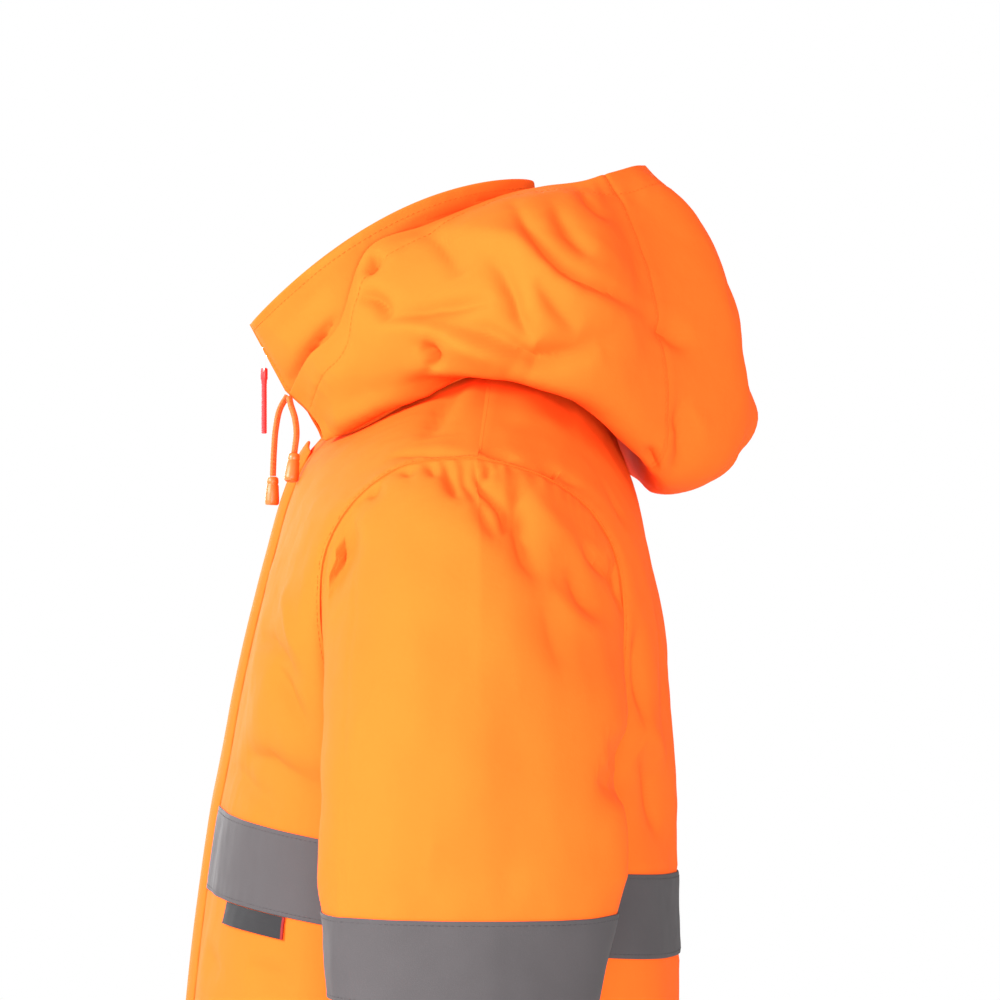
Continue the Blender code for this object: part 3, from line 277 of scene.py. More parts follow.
def creases(*table):
    """Creases from rows of reach, height, keen and points, all but keen in tenths of a millimetre."""
    return [Crease(reach / TENTHS, height / TENTHS, keen, np.array(points) / TENTHS)
            for reach, height, keen, *points in table]


# on the hood and sleeves, points are (y, z) seen from the side
HOOD_CREASES = creases(
    (35, -64, 1.1, (-727, 726), (-752, 657), (-788, 580)),
    (45, -54, 1.2, (-852, 447), (-747, 435), (-695, 395), (-666, 329), (-632, 297)),
    (60, -46, 1.3, (-643, 300), (-492, 325), (-377, 353), (-262, 367), (-125, 394), (-22, 402)),
    (80, 66, 1.3, (-742, 270), (-632, 257), (-424, 235), (-287, 202), (-104, 112), (80, 26), (218, -45)),
    (85, -86, 1.3, (-412, 276), (-263, 238), (-102, 199), (12, 139), (128, 69), (220, 33), (361, 57),
     (548, 99), (668, 105)),
    (90, 46, 1.5, (-334, 131), (-151, 109), (-12, 73), (103, -2)),
    (30, -75, 1.2, (-457, 127), (-396, 98), (-370, 40), (-404, -23)),
    (120, 60, 1.4, (-294, 871), (-184, 824), (-4, 790), (131, 749), (233, 664), (335, 557), (450, 486),
     (616, 395), (792, 319)),
    (55, -66, 1.15, (129, 1008), (178, 890), (228, 788), (315, 665), (406, 582), (549, 502), (698, 460),
     (800, 417), (922, 343)),
    (65, -44, 1.2, (368, 1010), (397, 933), (440, 846), (508, 761), (600, 670)),
    (35, -42, 1.1, (551, 1137), (598, 1060), (667, 998), (758, 927)),
    (60, -36, 1.25, (-422, 851), (-321, 771), (-265, 683), (-218, 549)),
    (85, -72, 1.25, (-51, 688), (27, 586), (82, 443), (115, 302), (173, 208), (254, 126)),
    (55, -42, 1.2, (218, 534), (287, 451), (356, 357), (426, 276), (493, 177)),
    (60, -28, 1.3, (493, 180), (618, 162), (716, 176), (844, 228)),
    (60, -46, 1.2, (971, 261), (1095, 220), (1196, 163), (1274, 177)),
    (70, -68, 1.2, (1158, -200), (1183, -318), (1226, -413), (1222, -555), (1122, -652)),
    (60, 30, 1.3, (1252, -221), (1291, -364), (1312, -531)),
    (50, -46, 1.2, (990, -488), (962, -581), (1018, -675)),
)
HOOD_BACK_CREASES = creases(       # on the centre piece, points are (x, z) seen from behind
    (120, -40, 1.5, (-600, 300), (-300, 100), (50, 40), (400, 140)),
    (140, 36, 1.6, (-450, -200), (-100, -300), (300, -220)),
    (100, -30, 1.4, (180, 900), (300, 600), (500, 360)),
    (80, -26, 1.3, (-340, 800), (-300, 520), (-420, 340)),
    (100, -34, 1.4, (-200, -460), (100, -560), (440, -500)),
)
COLLAR_CREASES = creases(          # points are (y, z); the first two lie just before the hood's rim
    (34, -50, 1.2, (-1262, -132), (-1150, 90), (-975, 290), (-940, 330)),
    (36, -50, 1.2, (-600, 800), (-380, 925), (-50, 1060), (270, 1160)),
    (120, -22, 1.6, (-1330, 200), (-1180, 380), (-1020, 520)),
    (100, 16, 1.6, (-1180, 560), (-950, 720), (-740, 840)),
)
SLEEVE_CREASES = creases(
    (70, -26, 1.5, (-900, -930), (-925, -1104), (-965, -1222), (-1005, -1400)),
    (40, -24, 1.3, (-752, -700), (-790, -760), (-814, -807)),
    (32, -26, 1.2, (-588, -590), (-569, -680)),
    (28, -26, 1.2, (-432, -585), (-420, -680)),
    (36, -44, 1.2, (-333, -575), (-332, -672), (-313, -743), (-275, -807)),
    (40, -34, 1.2, (-238, -575), (-249, -672), (-207, -749), (-182, -831)),
    (45, -66, 1.15, (-185, -575), (-161, -660), (-122, -713), (-65, -766), (-7, -831), (2, -907),
     (-20, -1006)),
    (55, -38, 1.2, (-180, -807), (-132, -906), (-52, -1040)),
    (28, -22, 1.2, (-98, -600), (-76, -665)),
    (75, -60, 1.2, (85, -670), (84, -819), (82, -994), (104, -1145), (158, -1225), (252, -1260)),
    (90, 46, 1.4, (132, -725), (202, -866), (291, -1006), (371, -1123), (451, -1275), (521, -1404)),
    (35, -44, 1.15, (412, -1089), (471, -1131), (547, -1191), (623, -1240), (710, -1254)),
    (35, 18, 1.3, (413, -1060), (484, -1102), (555, -1156), (629, -1211), (713, -1219)),
    (60, -52, 1.2, (316, -1209), (387, -1274), (444, -1361), (502, -1448), (563, -1509)),
    (50, 32, 1.25, (225, -1329), (290, -1408), (374, -1500), (469, -1561), (559, -1578)),
    (100, -36, 1.3, (181, -1351), (220, -1464), (255, -1622), (311, -1805)),
    (30, -50, 1.1, (683, -1220), (694, -1343), (703, -1450)),
    (120, 40, 1.4, (620, -1750), (660, -2050), (680, -2220), (640, -2360)),
    (60, -45, 1.2, (560, -2160), (630, -2260), (660, -2400)),
    (80, -60, 1.2, (523, -2352), (609, -2441), (727, -2557)),
    (50, 22, 1.1, (-969, -2990), (-975, -3270), (-986, -3720)),
    (60, 12, 1.3, (-672, -1801), (-768, -1905), (-860, -2105), (-917, -2361)),
)
SLEEVE_SLITS = creases(            # folds that close on themselves, pressed straight in towards the body
    (24, -110, 1.6, (-925, -960), (-950, -1104), (-988, -1222), (-1030, -1390)),
)
LOWER_SLEEVE_CREASES = creases(    # long soft folds; the sleeve's inner side has only these
    (260, -20, 1.8, (-50, -1700), (50, -2300), (20, -3000)),
    (220, -26, 1.6, (300, -2750), (-50, -2900), (-500, -2850)),
    (160, -44, 1.5, (-1150, -4050), (-800, -4200), (-300, -4150)),
    (160, 38, 1.5, (-1180, -4420), (-750, -4450), (-250, -4330)),
    (160, -40, 1.5, (-1300, -5650), (-950, -5850), (-500, -5800)),
    (140, -36, 1.5, (-200, -5550), (-500, -6050), (-950, -6250)),
    (120, -36, 1.4, (-100, -4700), (-500, -4900), (-1100, -4850)),
)
# on the fronts and back, points are (x, z) with x counted outwards on either side
FRONT_CREASES = creases(
    (90, -48, 1.3, (1438, -1804), (1695, -1964), (1844, -2107), (1941, -2223)),
    (60, 26, 1.3, (1423, -1336), (1650, -1483), (1787, -1660), (1938, -1787)),
    (50, -28, 1.2, (900, -1670), (1411, -1683), (1674, -1784), (1948, -1942)),
    (60, -22, 1.3, (600, -2490), (958, -2518), (1348, -2617), (1624, -2703)),
    (80, -26, 1.3, (1032, -2390), (1492, -2396), (1778, -2489)),
    (80, -34, 1.3, (1459, -3642), (1727, -3707), (1838, -3804)),
    (60, -24, 1.3, (699, -3623), (1121, -3718)),
    (300, 30, 1.8, (600, -1000), (1100, -1800), (1500, -2500)),
    (260, -40, 1.5, (350, -4000), (1000, -4450), (1800, -4300)),
    (160, 34, 1.5, (500, -4500), (1100, -4900), (1900, -4700)),
    (280, 42, 1.6, (600, -6200), (800, -7000), (750, -7900)),
    (260, -44, 1.5, (1500, -6200), (1550, -7200), (1600, -7900)),
    (140, -30, 1.4, (1100, -6400), (1150, -7200), (1100, -7800)),
)
BACK_CREASES = creases(
    (120, -60, 1.3, (2022, -1566), (1953, -1778), (1894, -2020), (1841, -2200)),
    (80, 30, 1.4, (1900, -2180), (1650, -2290), (1350, -2430)),
    (110, -56, 1.3, (1930, -2320), (1600, -2560), (1300, -2880)),
    (320, 36, 1.7, (200, -4000), (900, -4700), (1800, -4800)),
    (200, -38, 1.4, (300, -4300), (1000, -5100), (1900, -5200)),
    (280, -44, 1.5, (900, -6400), (850, -7200), (900, -8100)),
    (260, 34, 1.6, (1500, -6400), (1500, -7200), (1580, -8000)),
    (180, -26, 1.5, (600, -1000), (1100, -1500), (1500, -2300)),
)
SHOULDER_CREASES = creases(        # on top of the shoulders, points are (x, y) seen from above
    (75, -34, 1.5, (910, -240), (1248, -310), (1612, -380), (1900, -440)),
    (70, 22, 1.6, (1017, -110), (1251, -170), (1594, -240), (1889, -290)),
    (34, -26, 1.2, (1930, -640), (2088, -460), (2175, -345), (2240, -211)),
    (45, -40, 1.2, (2190, -140), (2170, -32), (2120, 100)),
    (30, -28, 1.2, (2220, 60), (2160, 218), (2050, 393)),
    (35, -40, 1.2, (2110, 240), (2060, 345), (2010, 440)),
    (70, -34, 1.3, (1818, 676), (1766, 728), (1655, 785)),
)


# ---------------------------------------------------------------- curves, grids and noise
def through(knots, values, at):
    """A smooth curve through values at knots, read at at: on each span the cubic Hermite blend of
    the end values and of tangents that weigh the slopes on either side by the other side's span."""
    knots = np.asarray(knots, float)
    values = np.asarray(values, float)
    at = np.clip(np.asarray(at, float), knots[0], knots[-1])
    wide = (-1, *[1] * (values.ndim - 1))
    steps = np.diff(knots).reshape(wide)
    slopes = np.diff(values, axis=0) / steps
    inner = (slopes[:-1] * steps[1:] + slopes[1:] * steps[:-1]) / (steps[:-1] + steps[1:])
    tangents = np.concatenate([slopes[:1], inner, slopes[-1:]])
    k = np.clip(np.searchsorted(knots, at, side="right") - 1, 0, len(knots) - 2)
    h = steps[k]
    t = ((at - knots[k]) / np.diff(knots)[k]).reshape(wide)
    return ((2 * t**3 - 3 * t**2 + 1) * values[k] + (t**3 - 2 * t**2 + t) * h * tangents[k]
            + (3 * t**2 - 2 * t**3) * values[k + 1] + (t**3 - t**2) * h * tangents[k + 1])


def lengths_along(lines):
    """Running length of each polyline in lines[..., point, axis], starting at 0."""
    steps = np.linalg.norm(np.diff(lines, axis=-2), axis=-1)
    return np.concatenate([np.zeros((*steps.shape[:-1], 1)), np.cumsum(steps, axis=-1)], axis=-1)


def lengths_down(grid):
    """Running length down each column of grid[row, column, axis]."""
    return lengths_along(grid.transpose(1, 0, 2)).T


def read_along(line, run, at):
    """Points of line[point, axis] at the running lengths at, where its own points' are run."""
    return np.stack([np.interp(at, run, column) for column in line.T], axis=1)


def even_steps(lines, shares):
    """Points at the given shares of the length of each polyline in lines[line, point, axis]."""
    return np.array([read_along(line, run, np.asarray(shares) * run[-1])
                     for run, line in zip(lengths_along(lines), lines)])


def places(step, *stops):
    """Numbers from the first stop to the last, each stop among them, about step apart."""
    runs = [np.linspace(a, b, max(2, round(abs(b - a) / step) + 1))[:-1] for a, b in zip(stops, stops[1:])]
    return np.concatenate([*runs, stops[-1:]])


def unit(vectors):
    return vectors / np.maximum(np.linalg.norm(vectors, axis=-1, keepdims=True), 1e-12)


def on_side(grid, side):
    """Points or normals of the wearer's left half, taken to the left (1) or the right (-1)."""
    return grid * np.array([side, 1.0, 1.0])


def draw_in(edge, neighbour, amount):
    """Moves an edge of a grid towards the points beside it, or away from them below 0."""
    edge += unit(neighbour - edge) * amount


def grid_normals(grid, away_from, closed=False):
    """Unit normals of grid[row, column], the cross of its two differences, facing off a point."""
    across = np.roll(grid, -1, axis=1) - np.roll(grid, 1, axis=1) if closed else np.gradient(grid, axis=1)
    normals = unit(np.cross(np.gradient(grid, axis=0), across))
    return normals if np.sum(normals * (grid - np.asarray(away_from))) > 0 else -normals


CREASE_ROUNDED = 0.0012         # a crease is round this far to either side of its line
PINCH_BROAD, PINCH_TIGHT = 0.75, 0.40       # shares of a trough's depth in its two bells


def crease_height(across, up, lines):
    """Height over the plain form: for each crease a bell of the distance to its line, raised to
    keen and rounded at the line itself, which fades to nothing at the line's two ends; a trough
    has a second, narrower bell down its middle, where the cloth is pinched."""
    height = np.zeros(across.shape)
    for crease in lines:
        run = lengths_along(crease.points)
        nearest = np.full(across.shape, np.inf)
        along = np.zeros(across.shape)
        for k, step in enumerate(np.diff(crease.points, axis=0)):
            right, rise = across - crease.points[k, 0], up - crease.points[k, 1]
            t = np.clip((right * step[0] + rise * step[1]) / (step @ step), 0, 1)
            gap = np.hypot(right - t * step[0], rise - t * step[1])
            closer = gap < nearest
            nearest = np.where(closer, gap, nearest)
            along = np.where(closer, (run[k] + t * (run[k + 1] - run[k])) / run[-1], along)
        fade = np.sin(math.pi * np.clip(along, 0.03, 0.97)) ** 0.7
        away = np.sqrt(nearest**2 + CREASE_ROUNDED**2) - CREASE_ROUNDED
        bell = np.exp(-(away / crease.reach) ** crease.keen)
        if crease.height < 0:
            pinch = np.exp(-(away / (0.45 * crease.reach + 0.0014)) ** 1.3)
            bell = PINCH_BROAD * bell + PINCH_TIGHT * pinch
        height += crease.height * fade * bell
    return height


RIPPLE_WAVES, FACET_WAVES = 9, 5


def ripple(points, size, seed):
    """Smooth uneven field from -1 to 1: plane waves about size long in seeded directions, summed."""
    dice = np.random.default_rng(seed)
    turns = unit(dice.normal(size=(RIPPLE_WAVES, 3)))
    count = 2 * math.pi / (size * dice.uniform(0.7, 1.5, RIPPLE_WAVES))
    phase = dice.uniform(0, 2 * math.pi, RIPPLE_WAVES)
    return np.sin(points @ (turns * count[:, None]).T + phase).sum(axis=-1) / math.sqrt(RIPPLE_WAVES * 2)


def facets(points, size, seed):
    """Like ripple, but of folded waves, so the cloth falls in flat facets with crisp lines."""
    dice = np.random.default_rng(seed)
    turns = unit(dice.normal(size=(FACET_WAVES, 3)))
    count = 2 * math.pi / (size * dice.uniform(0.8, 1.6, FACET_WAVES))
    phase = dice.uniform(0, 2 * math.pi, FACET_WAVES)
    phase = phase + 1.2 * ripple(points, size * 2, seed + 1)[..., None]
    return np.arcsin(np.sin(points @ (turns * count[:, None]).T + phase) * 0.985).sum(axis=-1) / 4.5


def uneven(points, sizes, seeds):
    """Cloth that isn't quite even: facets and then finer ripples, each (height, size), summed."""
    kinds = (facets, *[ripple] * (len(sizes) - 1))
    return sum(height * kind(points, size, seed) for kind, (height, size), seed in zip(kinds, sizes, seeds))


def seam_dip(distance, depth, reach):
    """Cloth rolls down into a seam: a dip that dies away over reach."""
    return -depth * np.exp(-((np.abs(distance) / reach) ** 1.3))


# ---------------------------------------------------------------- meshes
def grid_quads(rows, columns, closed=False):
    """Corner numbers of the quads of a grid kept row by row."""
    across = columns if closed else columns - 1
    r, c = np.meshgrid(np.arange(rows - 1), np.arange(across), indexing="ij")
    right = (c + 1) % columns
    return np.stack([r * columns + c, r * columns + right, (r + 1) * columns + right, (r + 1) * columns + c],
                    axis=-1).reshape(-1, 4)


def free_edges(quads, count):
    """Directed edges that only one quad uses."""
    edges = np.concatenate([quads[:, [k, (k + 1) % 4]] for k in range(4)])
    key = edges[:, 0].astype(np.int64) * count + edges[:, 1]
    back = edges[:, 1].astype(np.int64) * count + edges[:, 0]
    return edges[~np.isin(key, back)]


def add_mesh(name, points, quads, uv, finish, smooth_under=50, corner_uv=None):
    """A mesh object from points, quads and a place on the cloth (metres) for each point, or for
    each corner of the quads where a seam needs two places for one point."""
    mesh = bpy.data.meshes.new(name)
    mesh.from_pydata(np.asarray(points, np.float32), [], quads)
    layer = mesh.uv_layers.new(name="cloth")
    flat = np.asarray(uv)[np.asarray(quads).ravel()] if corner_uv is None else corner_uv
    layer.data.foreach_set("uv", np.asarray(flat, np.float32).ravel())
    mesh.shade_smooth()
    if smooth_under:
        mesh.set_sharp_from_angle(angle=math.radians(smooth_under))
    mesh.materials.append(finish)
    made = bpy.data.objects.new(name, mesh)
    bpy.context.scene.collection.objects.link(made)
    return made


def wall(name, outer, inner, quads, uv, finish, corner_uv=None):
    """One closed shell: the outer sheet, the same sheet inside it and a rim on each free edge."""
    count = len(outer)
    corner_uv = uv[quads] if corner_uv is None else corner_uv
    a, b, c = (outer[quads[:, k]] for k in (0, 1, 2))
    if np.sum(np.cross(b - a, c - a) * (outer - inner)[quads[:, 0]]) < 0:
        quads, corner_uv = quads[:, ::-1], corner_uv[:, ::-1]
    edges = free_edges(quads, count)
    rim = np.column_stack([edges[:, 1], edges[:, 0], edges[:, 0] + count, edges[:, 1] + count])
    every = np.concatenate([quads, quads[:, ::-1] + count, rim])
    corner_uv = np.concatenate([corner_uv, corner_uv[:, ::-1], uv[rim % count]])
    return add_mesh(name, np.concatenate([outer, inner]), every, None, finish, corner_uv=corner_uv)


def sheet(name, outer, inner, finish, closed=False):
    """A wall from two grids [row, column]; its cloth places are lengths along the grid, and those
    of a closed one run on past its last column."""
    quads = grid_quads(*outer.shape[:2], closed)
    uv = grid_places(np.concatenate([outer, outer[:, :1]], axis=1) if closed else outer)
    corner_uv = uv.reshape(-1, 2)[grid_quads(*uv.shape[:2])]
    uv = uv[:, :outer.shape[1]].reshape(-1, 2)
    return wall(name, outer.reshape(-1, 3), inner.reshape(-1, 3), quads, uv, finish, corner_uv)


def blocks(points):
    """Quads of many like blocks in points[block, 12, axis]: three rings of four, closed at both ends."""
    block = np.concatenate([grid_quads(3, 4, closed=True), [[3, 2, 1, 0], [8, 9, 10, 11]]])
    return (block + 12 * np.arange(len(points))[:, None, None]).reshape(-1, 4)


def grid_places(grid):
    """Place of each grid point on the flat cloth: mean length across, mean length along."""
    across = lengths_along(grid).mean(axis=0)
    along = lengths_down(grid).mean(axis=1)
    u, v = np.meshgrid(across - across[-1] / 2, along)
    return np.stack([u, v], axis=-1)


def tube(name, path, radius, finish, sides, closed=False):
    """A round tube along a path: rings carried along it square to it, capped by a fan of quads.
    radius is one number or one for each point; a capped end closes to a small ring."""
    path = np.asarray(path, float)
    radius = np.broadcast_to(np.asarray(radius, float), (len(path),))
    along = np.roll(path, -1, axis=0) - np.roll(path, 1, axis=0) if closed else np.gradient(path, axis=0)
    along = unit(along)
    side = unit(np.cross(along, (0.13, 1.0, 0.07)))
    other = np.cross(along, side)
    turn = np.linspace(0, 2 * math.pi, sides, endpoint=False)
    ring = side[:, None] * np.cos(turn)[None, :, None] + other[:, None] * np.sin(turn)[None, :, None]
    if not closed:
        path = np.concatenate([path[:1], path, path[-1:]])
        ring = np.concatenate([ring[:1], ring, ring[-1:]])
        radius = np.concatenate([[radius[0] * 0.02], radius, [radius[-1] * 0.02]])
    points = path[:, None] + ring * radius[:, None, None]
    count = len(path)
    quads = grid_quads(count, sides, closed=True)
    if closed:
        first = np.arange(sides)
        there = (first + 1) % sides
        last = (count - 1) * sides
        quads = np.concatenate([quads, np.column_stack([last + first, last + there, there, first])])
    u, v = np.meshgrid(turn / (2 * math.pi), lengths_along(path))
    made = add_mesh(name, points.reshape(-1, 3), quads, np.stack([u, v], axis=-1).reshape(-1, 2), finish)
    return tidy_solid(made)


def tidy_solid(made, merge=True):
    """Turns a closed solid's faces outwards, with its doubled points merged first; many like
    solids that already agree are only turned all at once."""
    shape = bmesh.new()
    shape.from_mesh(made.data)
    if merge:
        bmesh.ops.remove_doubles(shape, verts=shape.verts, dist=1e-6)
        bmesh.ops.recalc_face_normals(shape, faces=shape.faces)
    if shape.calc_volume(signed=True) < 0:
        bmesh.ops.reverse_faces(shape, faces=shape.faces)
    shape.to_mesh(made.data)
    shape.free()
    return made


def stitches(name, runs, finish, pitch):
    """Sewing along (points, normals) runs: each stitch is a short four-sided rod with drawn-in ends."""
    rod = np.array([(s, a, b) for s in (-0.5, 0.0, 0.5) for a, b in ((1, 0), (0, 1), (-1, 0), (0, -1))])
    ahead, aside, above = (rod[None, :, k:k + 1] for k in range(3))
    thick = np.where(abs(ahead) > 0.4, 0.55, 1.1) * STITCH_WIDTH / 2
    every = []
    for line, out in runs:
        run = lengths_along(line)
        count = int(run[-1] / pitch)
        at = (np.arange(count) + 0.5) * run[-1] / max(count, 1)
        middle = read_along(line, run, at)[:, None]
        along = unit(read_along(line, run, at + 0.0008) - read_along(line, run, at - 0.0008))[:, None]
        up = unit(read_along(out, run, at))[:, None]
        side = np.cross(along, up)
        every.append(middle + up * (STITCH_PROUD - STITCH_WIDTH * 0.25) + along * ahead * STITCH_LENGTH
                     + (side * aside + up * above * 0.8) * thick)
    points = np.concatenate(every)
    flat = points.reshape(-1, 3)
    return tidy_solid(add_mesh(name, flat, blocks(points), flat[:, :2], finish, smooth_under=0), merge=False)


SIDES = (("left", 1), ("right", -1))


# ---------------------------------------------------------------- surfaces of the cloth
class Surface:
    """A grid of cloth points with their normals and the two coordinates of its rows and columns."""

    def __init__(self, ats, shares, points, normals):
        self.ats = np.asarray(ats, float)
        self.shares = np.asarray(shares, float)
        self.points = points
        self.normals = normals

    def at(self, at, share, lift=0.0):
        """Points and normals at any place on it, read off its facets, moved out by lift."""
        at, share = np.broadcast_arrays(np.asarray(at, float), np.asarray(share, float))
        row = np.interp(at, self.ats, np.arange(len(self.ats)))
        column = np.interp(share, self.shares, np.arange(len(self.shares)))
        r = np.minimum(row.astype(int), len(self.ats) - 2)
        c = np.minimum(column.astype(int), len(self.shares) - 2)
        down, over = (row - r)[..., None], (column - c)[..., None]
        read = [(1 - down) * ((1 - over) * grid[r, c] + over * grid[r, c + 1])
                + down * ((1 - over) * grid[r + 1, c] + over * grid[r + 1, c + 1])
                for grid in (self.points, self.normals)]
        normals = unit(read[1])
        return read[0] + normals * np.asarray(lift, float)[..., None], normals

    def patch(self, ats, shares, lift=0.0):
        """The grid of places where the given rows and columns cross."""
        return self.at(np.asarray(ats)[:, None], np.asarray(shares)[None, :], lift)

    def moved(self, side):
        """The same surface for the wearer's left (1) or right (-1)."""
        return Surface(self.ats, self.shares, on_side(self.points, side), on_side(self.normals, side))

    def columns(self, kept):
        """A copy of some of its columns."""
        return Surface(self.ats, self.shares[kept], self.points[:, kept].copy(), self.normals[:, kept])


EDGE = 0.0011                   # a turned edge is gridded finely over this distance
EDGE_SHARES = np.array([0.0, 0.12, 0.4, 1.0])


def edged(first, last, step, edge=EDGE):
    """Places from first to last about step apart, closer together within edge of both ends."""
    near = edge * EDGE_SHARES
    middle = places(step, first + edge, last - edge)
    return np.concatenate([first + near[:-1], middle, (last - near[:-1])[::-1]])


def rounded(distance, thickness):
    """Share of a cloth's thickness that is left near a turned edge: a half circle across it."""
    return np.sqrt(np.maximum(1 - (1 - np.clip(distance * 2 / thickness, 0.03, 1)) ** 2, 0.0))


def row_values(table, name, ats):
    """One value of a panel's rows, such as their outer points, joined by a smooth curve."""
    return through([row.at for row in table], [getattr(row, name) for row in table], ats)


def half_rows(table, ats, shares, centre_x):
    """Points of a left half panel.  Each row is a quarter of a superellipse stretched on three
    points: outer + (corner - outer) sin(a)^(2/full) + (inner - corner) (1 - cos(a)^(2/full)),
    from the inner end outwards, at even shares of its length."""
    outer, corner, inner, full = (row_values(table, name, ats)
                                  for name in ("outer", "corner", "inner", "full"))
    angle = np.linspace(math.pi / 2, 0, ROW_STEPS)
    power = 2 / full[:, None]
    side = (np.sin(angle)[None] ** power)[..., None]
    front = (1 - np.cos(angle)[None] ** power)[..., None]
    lines = outer[:, None] + (corner - outer)[:, None] * side + (inner - corner)[:, None] * front
    lines[..., 0] = np.maximum(lines[..., 0], centre_x)
    return even_steps(lines, shares)


def seam_up():
    """The direction that front and back share along the shoulder seam."""
    up = np.cross(np.subtract(SHOULDER, NECK_POINT), (0.0, 1.0, 0.0))
    return up / np.linalg.norm(up) * np.sign(up[2])


def step_up(value, start, width):
    """Rises smoothly from 0 at start to 1 at start + width."""
    t = np.clip((value - start) / width, 0, 1)
    return t * t * (3 - 2 * t)


def roll(distance, height=0.0009, reach=0.0035):
    """Cloth swells beside a seam and is pinned on it: d/r exp(1 - d/r), zero on the seam itself."""
    share = np.abs(distance) / reach
    return height * share * np.exp(1 - share)


def gathers(distance, along, kind, look, seed):
    """Small gathers across a seam, pinned on the seam, strongest beside it and dying away from it:
    a sine of the length along the seam, its height and its phase drifting with a ripple."""
    share = np.abs(distance) / kind.reach
    spot = np.stack([along, np.full_like(along, 0.3), np.full_like(along, 0.7)], axis=-1)
    drift = 0.6 + 0.4 * ripple(spot, kind.size * 5, seed)
    wave = np.sin(2 * math.pi * along / kind.size + 2.4 * ripple(spot, kind.size * 3, seed + 1))
    return look.pucker_height * kind.share * drift * wave * np.minimum(share * 4, 1) * np.exp(-share)


CLOSE = 0.0036                          # from row to row where the cloth has its finest forms
PANEL_ATS = np.concatenate([edged(HEM, WAIST_LOW, 0.0056), places(CLOSE, WAIST_LOW, WAIST_TOP)[1:],
                            places(0.0052, WAIST_TOP, CHEST_LOW)[1:],
                            places(CLOSE, CHEST_LOW, CHEST_TOP, ARMPIT, THROAT, NAPE, SHOULDER_AT)[1:]])
FRONT_SHARES = np.concatenate([[0.0, 0.0012, 0.004], np.linspace(0.0125, 1, 96)])
BACK_SHARES = 1 - (1 - np.linspace(0, 1, 76)) ** 1.2
HEM_SEWN, CUFF_SEWN = 0.022, 0.025      # how far in the hem and the cuffs are sewn
HEAD_TUCK = 0.0012                      # how far the sleeve's edge goes in under the body's
SHOULDER_TUCK = 0.0004                  # and the front's edge over the back's on the shoulder
ON_TOP = (0.735, 0.03)                  # where up a panel the creases of the shoulders begin
ROW_STEPS = 120                         # points by which a row's curve is measured
PROFILE_STEPS = 90                      # and a profile's


def panel_height(plain, ats, side, look, lines, lower, seed):
    """How far a half panel's cloth stands off its plain form: creases, then broad and small
    unevenness, then the roll and gathers beside each seam, tape and hem."""
    run = lengths_along(plain)
    to_side = run[:, -1:] - run
    at = np.broadcast_to(ats[:, None], run.shape)
    to_top = SHOULDER_AT - at
    drift = lower * step_up(plain[..., 0], 0.02, 0.06)
    height = look.crease_depth * crease_height(plain[..., 0], plain[..., 2] + drift, lines)
    height += uneven(on_side(plain, side), PANEL_UNEVEN, (seed, seed + 5, seed + 9))
    height *= step_up(to_side, 0.0, CREASES_END) * step_up(to_top, 0.0, CREASES_END)
    top = step_up(at, *ON_TOP) * step_up(to_side, 0.0, 0.004) * step_up(to_top, 0.0, 0.004)
    on_top = crease_height(plain[..., 0] + drift * 0.3, plain[..., 1], SHOULDER_CREASES)
    height += look.crease_depth * top * on_top
    by_armhole = step_up(at, ARMPIT, 0.02)
    lapped = by_armhole * np.exp(-((to_side / 0.006) ** 2))
    height += roll(to_side) * 1.2 * (1 - lapped) + 0.0006 * lapped + roll(to_top)
    height += gathers(to_side, at, ARMHOLE_GATHERS, look, seed + 20) * by_armhole
    height += gathers(to_side, at, SIDE_GATHERS, look, seed + 21) * step_up(ARMPIT - at, 0.0, 0.02)
    for place in (CHEST_LOW, CHEST_TOP, WAIST_LOW, WAIST_TOP, HEM_SEWN):
        kind = HEM_GATHERS if place == HEM_SEWN else TAPE_GATHERS
        height += gathers(at - place, run, kind, look, seed + 30 + int(place * 900))
        height += roll(at - place, 0.0005, 0.003)
    return height, run


def plain_panel(table, shares, centre_x):
    """A left half panel's plain form and its normals, which it shares with its neighbours where
    they are sewn together."""
    plain = half_rows(table, PANEL_ATS, shares, centre_x)
    normals = grid_normals(plain, BODY_MIDDLE)
    normals[PANEL_ATS <= ARMPIT + 1e-6, -1] = (1.0, 0.0, 0.0)
    normals[-1] = seam_up()
    return plain, normals


def front_surface(side, look):
    """One front: its plain form with its own creases; the zip's edge and the neckline stay plain."""
    plain, normals = plain_panel(FRONT_ROWS, FRONT_SHARES, ZIP_OPENING)
    lower, seed = (0.0, 11) if side > 0 else (FRONT_LOWER, 12)
    height, run = panel_height(plain, PANEL_ATS, side, look, FRONT_CREASES, lower, seed)
    at = PANEL_ATS[:, None]
    height *= np.where(at < THROAT, step_up(run, 0.030, 0.030), step_up(run, 0.0, 0.014))
    points = plain + normals * height[..., None]
    draw_in(points[:, -1], points[:, -2], SEAM_GAP / 2)
    draw_in(points[-1], points[-2], -SHOULDER_TUCK)
    return Surface(PANEL_ATS, FRONT_SHARES, points, normals).moved(side)


